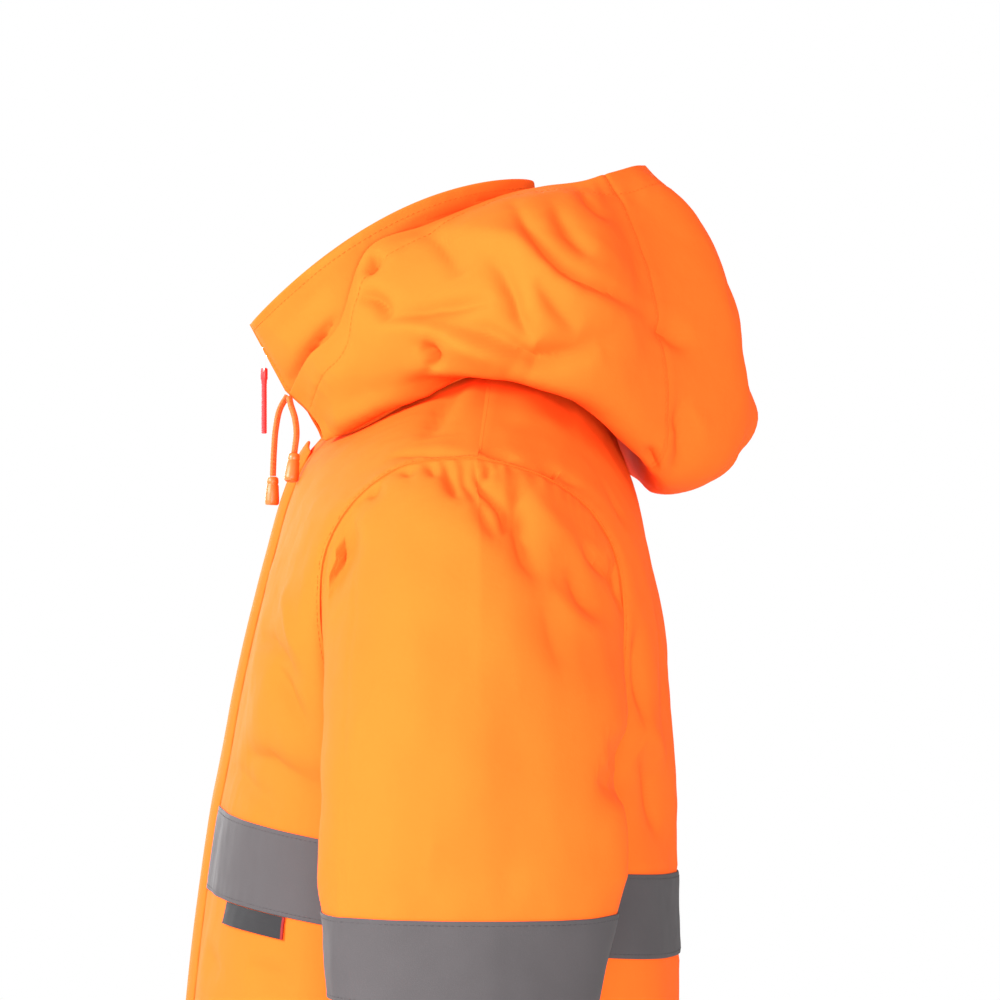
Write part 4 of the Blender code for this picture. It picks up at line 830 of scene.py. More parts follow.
def back_surface(side, look):
    """One half of the back; both halves take the same height on the middle line."""
    plain, normals = plain_panel(BACK_ROWS, BACK_SHARES, 0.0)
    whole = PANEL_ATS <= NAPE + 1e-6
    normals[whole, 0, 0] = 0.0
    normals[:, 0] = unit(normals[:, 0])
    lower = 0.0 if side > 0 else BACK_LOWER
    height, run = panel_height(plain, PANEL_ATS, side, look, BACK_CREASES, lower, 41)
    middle = panel_height(plain, PANEL_ATS, 1, look, BACK_CREASES, 0.0, 41)[0]
    blend = np.exp(-(run / 0.02) ** 2)
    height = height * (1 - blend) + middle * blend
    at = PANEL_ATS[:, None]
    height *= np.where(at < NAPE, 1.0 - 0.9 * step_up(at, NAPE - 0.02, 0.02), step_up(run, 0.0, 0.014))
    points = plain + normals * height[..., None]
    draw_in(points[:, -1], points[:, -2], SEAM_GAP / 2)
    draw_in(points[-1], points[-2], SEAM_GAP / 2)
    points[whole, 0, 0] = 0.0
    return Surface(PANEL_ATS, BACK_SHARES, points, normals).moved(side)


QUARTER = math.pi / 2
# a sleeve's turns begin at the shoulder and go first to the front
SLEEVE_TURNS = np.concatenate([np.linspace(0, QUARTER, 62)[:-1], np.linspace(QUARTER, 3 * QUARTER, 40)[:-1],
                               np.linspace(3 * QUARTER, 4 * QUARTER, 62)])
HEAD_DOWNS = np.linspace(0, 1, 58)[:-1] ** 1.3 - 1      # share of the head, counted up to the rings
SLEEVE_DOWNS = np.concatenate([HEAD_DOWNS, places(CLOSE, 0.0, *ARM_BAND, *WRIST_BAND, CUFF - EDGE)[:-1],
                               CUFF - EDGE * EDGE_SHARES[::-1]])
# a sleeve's seams, front and back: the turn at which each leaves the armhole and the one it runs down on
SLEEVE_SEAMS = ((math.radians(90), math.radians(57)), (math.radians(270), math.radians(248)))
SLEEVE_RADIUS = 0.072                                   # turns a seam's turn into a distance


def armhole_line(turns):
    """Points of the armhole: rows of the front from the shoulder to the armpit, then of the back."""
    ends = len(ARMHOLE_AT) - 1
    index = np.where(turns <= math.pi, ends * (1 - turns / math.pi), ends * (turns / math.pi - 1))
    ats = np.interp(index, np.arange(ends + 1), ARMHOLE_AT)
    sides = [row_values(table, "outer", ats) for table in (FRONT_ROWS, BACK_ROWS)]
    return np.where((turns <= math.pi)[:, None], *sides)


def sleeve_surface(side, look):
    """A sleeve: a cubic Bezier head from the armhole into the top ring, then rings whose outline
    is |cos|^r and |sin|^r, joined by smooth curves down to the cuff."""
    turns = SLEEVE_TURNS
    wave = [np.sign(f(turns)) * np.abs(f(turns)) ** SLEEVE_ROUND for f in (np.cos, np.sin)]
    downs = SLEEVE_DOWNS[len(HEAD_DOWNS):]
    table = through([row.at for row in SLEEVE_RINGS], [row[1:] for row in SLEEVE_RINGS], downs)
    x, y, z, across, deep, rise = (column[:, None] for column in table.T)
    ring_y = y - deep * wave[1]
    rings = np.stack([x + across * wave[0], ring_y, z - (ring_y - y) * rise], axis=-1)
    armhole = armhole_line(turns)
    weight = ((1 + np.cos(turns)) / 2)[:, None]
    reach = HEAD_REACH[0] + (HEAD_REACH[1] - HEAD_REACH[0]) * weight
    first = armhole + np.array(HEAD_LEAVES) * reach
    last = rings[0] + np.array([0.0, 0.0, 1.0]) * reach * HEAD_DROP
    t = (HEAD_DOWNS + 1)[:, None, None]
    head = ((1 - t) ** 3 * armhole + 3 * (1 - t) ** 2 * t * first
            + 3 * (1 - t) * t**2 * last + t**3 * rings[0])
    plain = np.concatenate([head, rings])
    normals = grid_normals(plain[:, :-1], SLEEVE_MIDDLE, closed=True)
    normals = np.concatenate([normals, normals[:, :1]], axis=1)
    gap = lengths_down(plain)
    lowered = plain[..., 2] + (0.0 if side > 0 else SLEEVE_LOWER)
    height = sleeve_height(plain, normals, gap, lowered, side, look)
    points = plain + normals * height[..., None]
    pressed = crease_height(plain[..., 1], lowered, SLEEVE_SLITS) * np.clip(normals[..., 0] * 4, 0, 1)
    points[..., 0] += look.crease_depth * pressed * step_up(gap, 0.002, 0.004)
    draw_in(points[0], points[1], -HEAD_TUCK)
    points[:, -1] = points[:, 0]
    return Surface(SLEEVE_DOWNS, turns, points, normals).moved(side)


def sleeve_height(plain, normals, gap, lowered, side, look):
    """How far a sleeve's cloth stands off its plain form; gap is the distance to the armhole and
    lowered the height that its creases are read at."""
    outside = np.clip(normals[..., 0] * 2.5 + 0.8, 0, 1)
    shown = crease_height(plain[..., 1], lowered, SLEEVE_CREASES + LOWER_SLEEVE_CREASES)
    hidden = crease_height(plain[..., 1] * 0.9, lowered + 0.03, LOWER_SLEEVE_CREASES)
    height = look.crease_depth * (outside * shown + 0.7 * (1 - outside) * hidden)
    height += uneven(on_side(plain, side), SLEEVE_UNEVEN, (71, 75, 79))
    height *= step_up(gap, 0.0, 0.006)
    height -= 0.0005 * np.exp(-((gap / 0.005) ** 2))
    around = np.broadcast_to(lengths_along(plain[0]), gap.shape)
    pucker = gathers(gap, around, HEAD_GATHERS, look, 90 + side)
    down = np.broadcast_to(SLEEVE_DOWNS[:, None], gap.shape)
    for place in (*ARM_BAND, *WRIST_BAND, CUFF - CUFF_SEWN):
        small = gathers(down - place, around * 0.85, TAPE_GATHERS, look, 95 + int(place * 900))
        pucker += small * step_up(down, -0.2, 0.2)
    below_head = step_up(gap, 0.0, 0.02)
    for start, end in SLEEVE_SEAMS:
        turn = start + (end - start) * step_up(SLEEVE_DOWNS[:, None], -1.0, 1.0)
        off = (SLEEVE_TURNS[None, :] - turn) * SLEEVE_RADIUS
        height += seam_dip(off, 0.0005, 0.0022) * below_head
        pucker += gathers(off, gap, SLEEVE_SEAM_GATHERS, look, 97) * below_head
    from_wrap = np.minimum(SLEEVE_TURNS, 2 * math.pi - SLEEVE_TURNS)[None, :]
    return height + pucker * step_up(from_wrap, 0.0, 0.12)


HOOD_ROUNDS = np.linspace(0, len(HOOD_PROFILES) - 1, 181)       # 0 the throat, last the centre back
HOOD_SHARES = np.concatenate([[0.0, 0.0007, 0.0022, 0.0055], np.linspace(0.0125, 1, 92)])
HOOD_SEAM_COLUMN = int(np.argmin(abs(HOOD_ROUNDS - HOOD_SEAM)))
RIM_SEWN = 0.020                                                # the rim's tunnel
HOOD_SWELL = (0.0045, 0.010, 0.008)     # where the hood rests: how high its foot swells, where, how far


def hood_surface(side, look):
    """Half of the hood: profiles joined by smooth curves round the neck, each read at even shares
    of its length from the rim (0) to the neck seam (1); rows are the shares, columns go round."""
    count, knots = HOOD_PROFILES.shape[:2]
    lines = through(np.arange(count), HOOD_PROFILES, HOOD_ROUNDS)
    fine = through(np.arange(knots), lines.transpose(1, 0, 2), np.linspace(0, knots - 1, PROFILE_STEPS))
    plain = even_steps(fine.transpose(1, 0, 2), HOOD_SHARES).transpose(1, 0, 2)
    plain[:, -1, 0] = 0.0
    normals = grid_normals(plain, (0.0, 0.02, 0.02))
    normals[:, -1, 0] = 0.0
    normals[:, -1] = unit(normals[:, -1])
    points = plain + normals * hood_height(plain, normals, side, look)[..., None]
    points[:, -1, 0] = 0.0
    return Surface(HOOD_SHARES, HOOD_ROUNDS, points, normals).moved(side)


def hood_height(plain, normals, side, look):
    """How far the hood's cloth stands off its plain form, nothing on the rim and the neck seam."""
    down = lengths_down(plain)
    up_from_seam = down[-1:] - down
    run = lengths_along(plain)
    rounds = HOOD_ROUNDS[None, :]
    world = on_side(plain, side)
    lower = 0.0 if side > 0 else HOOD_LOWER
    height = look.crease_depth * np.clip(normals[..., 0] * 2.5, 0, 1) * crease_height(
        plain[..., 1] - lower * 0.6, plain[..., 2] + lower, HOOD_CREASES)
    behind = np.clip(normals[..., 1] * 2.5 - 0.4, 0, 1) * step_up(rounds, HOOD_SEAM - 0.6, 0.8)
    height += look.crease_depth * behind * crease_height(world[..., 0], plain[..., 2], HOOD_BACK_CREASES)
    height += uneven(world, HOOD_UNEVEN, (111, 115, 119))
    height *= step_up(down, 0.001, 0.012) * step_up(up_from_seam, 0.0, 0.016)
    rests = step_up(rounds, 0.2, 0.8) * (1 - step_up(rounds, 3.2, 1.2))
    high, where, reach = HOOD_SWELL
    height += high * rests * np.exp(-((up_from_seam - where) / reach) ** 2)
    height += roll(up_from_seam, 0.0008) * step_up(down, 0.0, 0.01)
    height += gathers(up_from_seam, run, NECK_GATHERS, look, 121)
    height += seam_dip(down - RIM_SEWN, 0.0006, 0.0020) * step_up(run, 0.002, 0.01)
    height += gathers(down - RIM_SEWN, run, TUNNEL_GATHERS, look, 124)
    off = run - run[:, [HOOD_SEAM_COLUMN]]
    return height + roll(off, 0.0007) + gathers(off, down, HOOD_SEAM_GATHERS, look, 128)


COLLAR_SHARES = np.concatenate([[0.0, 0.0012, 0.004], np.linspace(0.011, 1, 120)])
COLLAR_UPS = np.concatenate([np.linspace(0, 0.985, 40), [0.993, 0.9975, 1.0]])
COLLAR_SEWN = 0.006             # how far below its top edge the collar is sewn
COLLAR_FOOT = (0.0030, 0.0023)  # how far its foot goes down and in behind the neck's edge


def neckline():
    """The neck's edge from the zip along the front to the shoulder and along the back's nape."""
    front = places(0.003, THROAT, SHOULDER_AT)
    back = places(0.003, NAPE, SHOULDER_AT)[:-1][::-1]
    line = np.concatenate([row_values(FRONT_ROWS, "inner", front), row_values(BACK_ROWS, "inner", back)])
    line[:, 0] = np.maximum(line[:, 0], ZIP_OPENING)
    line[-1, 0] = 0.0
    return even_steps(line[None], COLLAR_SHARES)[0]


def collar_surface(look):
    """The whole collar, its columns running round the neck.  From each neckline point, b = (1 -
    cos(turn))/2 of the way back, it leans to the top edge: half width eased from the neckline's to
    w sin(turn)^0.85, on the line from tip to back raised by sin(turn)^2.  It bows out by sin x sin
    in between and folds in by sin(pi sqrt(up)) just above the throat."""
    foot = neckline()
    run = lengths_along(foot)
    angle = math.pi * run / run[-1]
    back = (1 - np.cos(angle)) / 2
    narrow = step_up(back, COLLAR_NARROWS[0], COLLAR_NARROWS[1] - COLLAR_NARROWS[0])
    top = np.stack([foot[:, 0] + (COLLAR_TOP_HALF_WIDTH * np.sin(angle) ** 0.85 - foot[:, 0]) * narrow,
                    COLLAR_TIP[0] + (COLLAR_BACK[0] - COLLAR_TIP[0]) * back,
                    COLLAR_TIP[1] + (COLLAR_BACK[1] - COLLAR_TIP[1]) * back
                    + COLLAR_SIDE_RISE * np.sin(angle) ** 2], axis=1)
    up = COLLAR_UPS[:, None, None]
    lean = np.subtract(COLLAR_TIP, THROAT_POINT)
    inward = np.array([0.0, lean[1], -lean[0]]) / np.linalg.norm(lean)
    fold = np.sin(math.pi * np.sqrt(np.minimum(up / COLLAR_FOLD_TOP, 1.0)))
    fold = fold * (1 - step_up(run, 0.0, COLLAR_FOLD_REACH))[None, :, None]
    plain = foot * (1 - up) + top * up + inward * COLLAR_FOLD * fold
    normals = grid_normals(plain, (0.0, -0.04, 0.04))
    normals[:, -1, 0] = 0.0
    normals[:, -1] = unit(normals[:, -1])
    plain = plain + normals * (COLLAR_BOW * np.sin(math.pi * COLLAR_UPS)[:, None] * np.sin(angle))[..., None]
    rise = unit(plain[1] - plain[0])
    plain[0] += rise * SEAM_GAP * 2
    plain[0] -= (rise * COLLAR_FOOT[0] + normals[0] * COLLAR_FOOT[1]) * step_up(run, 0.012, 0.030)[:, None]
    points, normals = (np.concatenate([half, on_side(half[:, -2::-1], -1)], axis=1)
                       for half in (plain, normals))
    shares = np.concatenate([COLLAR_SHARES, 2 - COLLAR_SHARES[-2::-1]])
    high = lengths_down(points)
    from_top = high[-1:] - high
    round_neck = lengths_along(points)
    free = np.minimum(round_neck, round_neck[:, -1:] - round_neck)
    height = uneven(points, COLLAR_UNEVEN, (141, 145))
    height += seam_dip(from_top - COLLAR_SEWN, 0.0004, 0.0018)
    height += gathers(from_top - COLLAR_SEWN, round_neck, COLLAR_GATHERS, look, 147)
    height += look.crease_depth * crease_height(points[..., 1], points[..., 2], COLLAR_CREASES)
    height *= step_up(high, 0.0, 0.008) * step_up(from_top, 0.0, 0.003) * step_up(free, 0.004, 0.012)
    return Surface(COLLAR_UPS, shares, points + normals * height[..., None], normals)


FLAP_ACROSS = np.concatenate([[0.0, 0.005, 0.02], np.linspace(0.05, 0.95, 17), [0.98, 0.995, 1.0]])
FLAP_ATS = edged(HEM, THROAT, 0.0035)


def flap_surface(look):
    """The storm flap: five lines that run up the fronts, each lifted by its own height, joined
    across by smooth curves.  It is drawn down, with small gathers, along its sewn edge on the
    wearer's left, and stands off unevenly towards its free edge on the right."""
    lines = np.stack([on_side(half_rows(FRONT_ROWS, FLAP_ATS, (share, share + 0.01), 0.0)[:, 0], side)
                      for share, side, _ in FLAP_LINES], axis=1)
    normals = grid_normals(lines, (0.0, 0.2, -0.45))
    lifted = lines + normals * np.array([lift for *_, lift in FLAP_LINES])[None, :, None]
    knots = np.linspace(0, 1, len(FLAP_LINES))
    points = through(knots, lifted.transpose(1, 0, 2), FLAP_ACROSS).transpose(1, 0, 2)
    normals = unit(through(knots, normals.transpose(1, 0, 2), FLAP_ACROSS).transpose(1, 0, 2))
    along = np.broadcast_to(FLAP_ATS[:, None], points.shape[:2])
    over = FLAP_ACROSS[None, :]
    height = np.maximum(0.0, 0.0006 * ripple(points, 0.09, 151)) * over
    waves = np.sin(along * 2 * math.pi / 0.024 + 2 * ripple(points, 0.2, 155))
    height += 0.00010 * waves * np.exp(-over / 0.12)
    height -= 0.0010 * np.exp(-lengths_along(points) / 0.006)
    height *= step_up(along, 0.0, 0.01) * step_up(THROAT - along, 0.0, 0.01)
    return Surface(FLAP_ATS, FLAP_ACROSS, points + normals * height[..., None], normals)


# ---------------------------------------------------------------- finishes
class Value:
    """One socket of a finish.  Arithmetic on it adds Math nodes to the finish."""

    def __init__(self, finish, socket):
        self.finish = finish
        self.socket = socket

    def math(self, operation, *terms):
        return self.finish.node("ShaderNodeMath", {"operation": operation}, dict(enumerate(terms)))

    def __add__(self, other):
        return self.math("ADD", self, other)

    def __sub__(self, other):
        return self.math("SUBTRACT", self, other)

    def __rsub__(self, other):
        return self.math("SUBTRACT", other, self)

    def __mul__(self, other):
        return self.math("MULTIPLY", self, other)

    __radd__ = __add__
    __rmul__ = __mul__

    def above(self, limit):
        return self.math("GREATER_THAN", self, limit)

    def wave(self, pitch):
        """The sine of this length, one turn for each pitch."""
        return self.math("SINE", self * (2 * math.pi / pitch))


class Finish:
    """A material with a Principled shader, filled in by nodes."""

    def __init__(self, name, roughness, gloss, metallic=0.0):
        self.material = bpy.data.materials.new(name)
        self.material.use_nodes = True
        self.tree = self.material.node_tree
        self.shader = self.tree.nodes["Principled BSDF"]
        self.shader.inputs["Roughness"].default_value = roughness
        self.shader.inputs["Metallic"].default_value = metallic
        self.shader.inputs["Specular IOR Level"].default_value = gloss

    def node(self, kind, settings=None, sockets=None, output=0):
        """Adds a node: settings are its own values, sockets the numbers, colours or links it takes."""
        made = self.tree.nodes.new(kind)
        for key, value in (settings or {}).items():
            setattr(made, key, value)
        for key, value in (sockets or {}).items():
            if isinstance(value, Value):
                self.tree.links.new(value.socket, made.inputs[key])
            else:
                made.inputs[key].default_value = value
        return Value(self, made.outputs[output])

    def mix(self, share, first, second):
        return self.node("ShaderNodeMix", {"data_type": "RGBA"}, {0: share, 6: first, 7: second}, 2)

    def noise(self, place, scale, detail):
        return self.node("ShaderNodeTexNoise", {}, {"Vector": place, "Scale": scale, "Detail": detail})

    def split(self, place):
        return [self.node("ShaderNodeSeparateXYZ", {}, {0: place}, axis) for axis in range(3)]

    def objects(self):
        return self.node("ShaderNodeTexCoord", output="Object")

    def cloth_places(self):
        return self.node("ShaderNodeUVMap", {"uv_map": "cloth"})

    def set(self, **links):
        for name, value in links.items():
            self.tree.links.new(value.socket, self.shader.inputs[name.replace("_", " ")])
        return self.material

    def bump(self, height):
        """Relief from a height in metres."""
        return self.node("ShaderNodeBump", {}, {"Strength": 1.0, "Distance": 1.0, "Height": height})


def shade(colour, amount):
    return (*(min(1.0, c * amount) for c in colour[:3]), 1.0)


def cloth_finish(name, colour, pitch, on_object=False):
    """Plain-woven coated cloth: threads over and under each other, a slight cockle between them, a colour
    that drifts over a hand's width and from thread to thread, and painted shade that darkens the weave's
    troughs between the threads."""
    finish = Finish(name, 0.8, gloss=0.02)
    here = finish.objects()
    u, v, _ = finish.split(here if on_object else finish.cloth_places())
    threads = u.wave(pitch) * v.wave(pitch)
    cockle = finish.noise(here, 170.0, 3.0)
    drift = finish.noise(here, 14.0, 3.0)
    fleck = finish.noise(here, 900.0, 1.0)
    broad = finish.mix(drift, shade(colour, 0.93), shade(colour, 1.06))
    # painted shade: the base colour follows the weave's relief (threads) and is darker in the troughs
    # between the threads
    base = finish.mix(fleck * 0.5 + threads * 0.18, broad, shade(colour, 1.10))
    rough_here = 0.74 + 0.14 * finish.noise(here, 60.0, 2.0)
    relief = threads * 0.000018 + cockle * 0.00016 + fleck * 0.00003
    return finish.set(Base_Color=base, Roughness=rough_here, Normal=finish.bump(relief))


def tape_finish(name, colour):
    """Grey tape faced with tiny glass beads, rubbed a little lighter and darker."""
    finish = Finish(name, 0.72, gloss=0.12)
    here = finish.objects()
    beads = finish.node("ShaderNodeTexVoronoi", {}, {"Vector": here, "Scale": 1900.0})
    rubbed = finish.noise(here, 26.0, 4.0)
    base = finish.mix(rubbed, shade(colour, 0.86), shade(colour, 1.14))
    base = finish.mix(beads * 0.3, base, shade(colour, 1.5))
    return finish.set(Base_Color=base, Roughness=0.66 + 0.16 * rubbed,
                      Normal=finish.bump(beads * 0.00004 + rubbed * 0.0004))


def thread_finish(name, colour):
    finish = Finish(name, 0.75, gloss=0.02)
    ply = finish.noise(finish.objects(), 2600.0, 1.0)
    return finish.set(Base_Color=finish.mix(ply, shade(colour, 0.8), shade(colour, 1.15)),
                      Normal=finish.bump(ply * 0.00005))


BRAID_STARTS, BRAID_LAY = 6.0, 0.0052       # strands each way, and how far one goes up the cord in its share


def braid_finish(name, colour):
    """Round braid: two sets of strands that wind opposite ways round the cord, with painted shade darker in
    the grooves between the strands.
    """
    finish = Finish(name, 0.6, gloss=0.25)
    u, v, _ = finish.split(finish.cloth_places())
    round_cord, along = u * BRAID_STARTS, v * (1 / BRAID_LAY)
    strands = (round_cord + along).wave(1.0) * (round_cord - along).wave(1.0)
    fuzz = finish.noise(finish.objects(), 1500.0, 2.0)
    # painted shade: the colour follows the strands' relief and is darker in the grooves between them
    base = finish.mix(strands * 0.35 + fuzz * 0.4, shade(colour, 0.82), shade(colour, 1.18))
    return finish.set(Base_Color=base, Normal=finish.bump(strands * 0.00014 + fuzz * 0.00005))


def moulded_finish(name, colour, rough, gloss=0.4):
    """Moulded plastic or rubber with a fine even grain and faint handling marks."""
    finish = Finish(name, rough, gloss=gloss)
    here = finish.objects()
    fine = finish.noise(here, 1400.0, 2.0)
    marks = finish.noise(here, 120.0, 4.0)
    return finish.set(Base_Color=finish.mix(marks, shade(colour, 0.86), shade(colour, 1.1)),
                      Roughness=(rough - 0.08) + 0.16 * marks, Normal=finish.bump(fine * 0.00004))


def metal_finish(name, colour):
    """Plated steel, duller where it is handled."""
    finish = Finish(name, 0.28, metallic=1.0, gloss=0.5)
    here = finish.objects()
    marks = finish.noise(here, 420.0, 4.0)
    return finish.set(Base_Color=finish.mix(marks, shade(colour, 0.8), shade(colour, 1.1)),
                      Roughness=0.2 + 0.25 * marks, Normal=finish.bump(marks * 0.00003))


def label_finish(name, colour, edge_colour):
    """Close-woven label, ribbed across, with a narrow coloured edge down its outer side, and painted shade
    darker in the troughs between its ribs.
    """
    finish = Finish(name, 0.7, gloss=0.2)
    u, v, _ = finish.split(finish.cloth_places())
    ribs = v.wave(LABEL_RIB)
    fleck = finish.noise(finish.objects(), 1100.0, 2.0)
    # painted shade: the ground's colour follows the ribs' relief and is darker in the troughs between them
    ground = finish.mix(fleck * 0.6 + ribs * 0.2, shade(colour, 0.8), shade(colour, 1.3))
    base = finish.mix(u.above(LABEL_HALF_WIDTH - LABEL_EDGE), ground, edge_colour)
    return finish.set(Base_Color=base, Normal=finish.bump(ribs * 0.00005 + fleck * 0.00004))


def finishes(look):
    """Every finish of the jacket, made once and found again by name."""
    found = {m.name: m for m in bpy.data.materials}
    if "coated_cloth" in found:
        return found
    cloth, tape = look.cloth_colour, look.tape_colour
    made = [
        cloth_finish("coated_cloth", cloth, look.weave),
        cloth_finish("hood_fabric", cloth, look.weave * 0.9),
        cloth_finish("zip_cloth", shade(cloth, 0.92), ZIP_WEAVE, on_object=True),
        tape_finish("bead_tape", tape),
        thread_finish("sewing_thread", cloth),
        thread_finish("tape_thread", shade(tape, 1.15)),
        braid_finish("drawcord_braid", shade(cloth, 0.95)),
        moulded_finish("tooth_plastic", shade(cloth, 0.8), 0.4),
        moulded_finish("bell_plastic", shade(cloth, 0.95), 0.42),
        moulded_finish("grip_rubber", look.grip_colour, 0.45),
        metal_finish("plated_steel", STEEL_COLOUR),
        label_finish("ribbed_label", LABEL_COLOUR, shade(look.grip_colour, 0.5)),
    ]
    return {m.name: m for m in made}


# ---------------------------------------------------------------- small hardware
CORD_STEPS = 56


def cord_path(route):
    """A smooth curve through a drawcord's few route points, by their running length."""
    run = lengths_along(np.array(route))
    return through(run, route, np.linspace(0, run[-1], CORD_STEPS))


def turned_solid(name, outline, start, axis, finish, sides, edge=0.0):
    """A solid turned round an axis: rings of the given radius at heights along it, its two ends
    closed by small rings; edge scallops each ring eight times by that share."""
    axis = unit(np.asarray(axis, float))
    side = unit(np.cross(axis, (0.2, 1.0, 0.1)))
    other = np.cross(axis, side)
    turn = np.linspace(0, 2 * math.pi, sides, endpoint=False)
    outline = np.asarray(outline, float)
    outline = np.concatenate([[(outline[0, 0], 0.00002)], outline, [(outline[-1, 0], 0.00002)]])
    radius = outline[:, 1:, None] * (1 + edge * np.cos(8 * turn))[None, :, None]
    spoke = side * np.cos(turn)[:, None] + other * np.sin(turn)[:, None]
    points = np.asarray(start) + axis * outline[:, :1, None] + spoke[None] * radius
    quads = grid_quads(len(outline), sides, closed=True)
    u, v = np.meshgrid(turn / (2 * math.pi), outline[:, 0])
    made = add_mesh(name, points.reshape(-1, 3), quads, np.stack([u, v], axis=-1).reshape(-1, 2), finish,
                    smooth_under=40)
    return tidy_solid(made)


def middle_line(look):
    """The zip's line seen from the side, hem to collar tip: points and outward normals (y, z)."""
    body = half_rows(FRONT_ROWS, places(0.003, HEM, THROAT)[:-1], (0.0, 0.01), ZIP_OPENING)[:, 0, 1:]
    line = np.concatenate([body, collar_surface(look).points[:, 0, 1:]])
    along = np.gradient(line, axis=0)
    out = unit(np.stack([-along[:, 1], along[:, 0]], axis=1))
    depth = np.where(np.arange(len(line)) < len(body), ZIP_DEPTH_BODY, ZIP_DEPTH_COLLAR)
    return line, out, line - out * depth[:, None]


TOOTH_PITCH, TOOTH_REACH, TOOTH_PAST, TOOTH_WIDTH, TOOTH_PROUD = 0.0030, 0.0034, 0.0007, 0.0019, 0.0010
TOOTH_ROOT = 0.0005             # how deep a tooth is rooted
TEETH_FROM, TEETH_TO = 0.006, 0.005     # how far from the zip's ends the teeth begin and end
SLIDER_HALF = 0.0072            # no teeth this near the slider


def teeth(name, look, finish):
    """Two rows of moulded teeth that mesh on the middle line, each a small block with a drawn-in
    top, rooted in the tape; none where the slider stands."""
    line, out, face = middle_line(look)
    run = lengths_along(face)
    slider_at = np.array(THROAT_POINT) + unit(np.subtract(COLLAR_TIP, THROAT_POINT)) * SLIDER_UP
    slider = run[np.argmin(abs(line - slider_at).sum(axis=1))]
    block = np.array([(x, t, h)
                      for h, narrow in ((-TOOTH_ROOT, 1.0), (TOOTH_PROUD * 0.65, 0.95), (TOOTH_PROUD, 0.72))
                      for x, t in ((-TOOTH_PAST, -narrow), (TOOTH_REACH, -narrow * 0.8),
                                   (TOOTH_REACH, narrow * 0.8), (-TOOTH_PAST, narrow))])
    aside, ahead, above = (block[None, :, k:k + 1] for k in range(3))
    every = []
    for side, start in ((1, TEETH_FROM), (-1, TEETH_FROM + TOOTH_PITCH / 2)):
        at = np.arange(start, run[-1] - TEETH_TO, TOOTH_PITCH)
        at = at[abs(at - slider) > SLIDER_HALF]
        middle, up = (np.pad(read_along(points, run, at), ((0, 0), (1, 0)))[:, None]
                      for points in (face, out))
        along = np.stack([up[..., 0], -up[..., 2], up[..., 1]], axis=-1)
        every.append(middle + np.array([side, 0, 0]) * aside + along * ahead * TOOTH_WIDTH / 2 + up * above)
    points = np.concatenate(every)
    flat = points.reshape(-1, 3)
    return tidy_solid(add_mesh(name, flat, blocks(points), flat[:, 1:], finish, smooth_under=30))


def hanging_loop(name, finish):
    """The wire loop through the slider's bail: a long ring with round corners."""
    half, drop, corner = PULL_LOOP
    turn = np.linspace(0, math.pi / 2, 7)
    arcs = []
    for x, z, start in ((half, 0.0, 0.0), (-half, 0.0, 0.5), (-half, -drop, 1.0), (half, -drop, 1.5)):
        centre = (x - math.copysign(corner, x), z - (corner if z == 0 else -corner))
        angle = turn + start * math.pi
        arcs.append(np.stack([centre[0] + corner * np.cos(angle), np.zeros(len(turn)),
                              centre[1] + corner * np.sin(angle)], axis=1))
    path = np.concatenate(arcs) + np.array(HINGE)
    return tube(name, path, PULL_WIRE, finish, sides=10, closed=True)


# ---------------------------------------------------------------- what the user can change
def colour_setting(name, description, default):
    return bpy.props.FloatVectorProperty(name=name, description=description, subtype="COLOR", size=3,
                                         default=default, min=0.0, max=1.0)


def number_setting(name, description, default, least, most, **kind):
    return bpy.props.FloatProperty(name=name, description=description, default=default, min=least,
                                   max=most, **kind)


class JacketLook(bpy.types.PropertyGroup):
    """Sizes and colours of the jacket's finish."""
    cloth_colour: colour_setting("Cloth", "Colour of the coated cloth", (0.86, 0.105, 0.0132))
    tape_colour: colour_setting("Tape", "Colour of the reflective tape", (0.050, 0.045, 0.047))
    grip_colour: colour_setting("Grip", "Colour of the zip's grip", (0.40, 0.016, 0.018))
    crease_depth: number_setting("Crease depth", "Share of the full depth of the creases",
                                 1.35, 0.0, 1.5, subtype="FACTOR")
    pucker_height: number_setting("Gathers", "Height of the gathers beside the seams",
                                  0.00075, 0.0, 0.0015, unit="LENGTH")
    weave: number_setting("Weave", "Width of one thread over and under",
                          0.0009, 0.0004, 0.003, unit="LENGTH")
    stitch: number_setting("Stitch", "Length from stitch to stitch", 0.0038, 0.002, 0.006, unit="LENGTH")
    camera_distance: number_setting("Camera distance", "From the jacket's middle to the camera",
                                    3.0, 1.0, 8.0, unit="LENGTH")
    key_power: number_setting("Key light", "Power of the large soft light before the jacket",
                              131.0, 0.0, 2000.0)
    side_power: number_setting("Side light", "Power of the soft light beside the left sleeve",
                               64.0, 0.0, 2000.0)
    fill_power: number_setting("Fill light", "Power of the soft light on the right", 90.0, 0.0, 2000.0)


def settle(piece, slot, *nodes, body="jacket"):
    """A finished piece: what it moves with and the solids it replaces; slot is not used."""
    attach(piece, body)
    if nodes:
        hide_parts(*nodes)
    return piece


def sew(name, runs, look, thread="sewing_thread", slot="shell_cloth"):
    """Sewing along (points, normals) runs, riding on the jacket."""
    return settle(stitches(name, runs, finishes(look)[thread], look.stitch), slot)


def sewn_by_armhole(surface):
    """The run of sewing on a half panel beside its armhole, a set distance in from the edge."""
    ats = places(0.004, ARMPIT + 0.004, SHOULDER_AT - 0.004)
    total = lengths_along(surface.patch(ats, surface.shares)[0])[:, -1]
    return surface.at(ats, 1 - EDGE_SEWN / total)


CLOTH_FINISH = {"shell_cloth": "coated_cloth", "hood_cloth": "hood_fabric"}


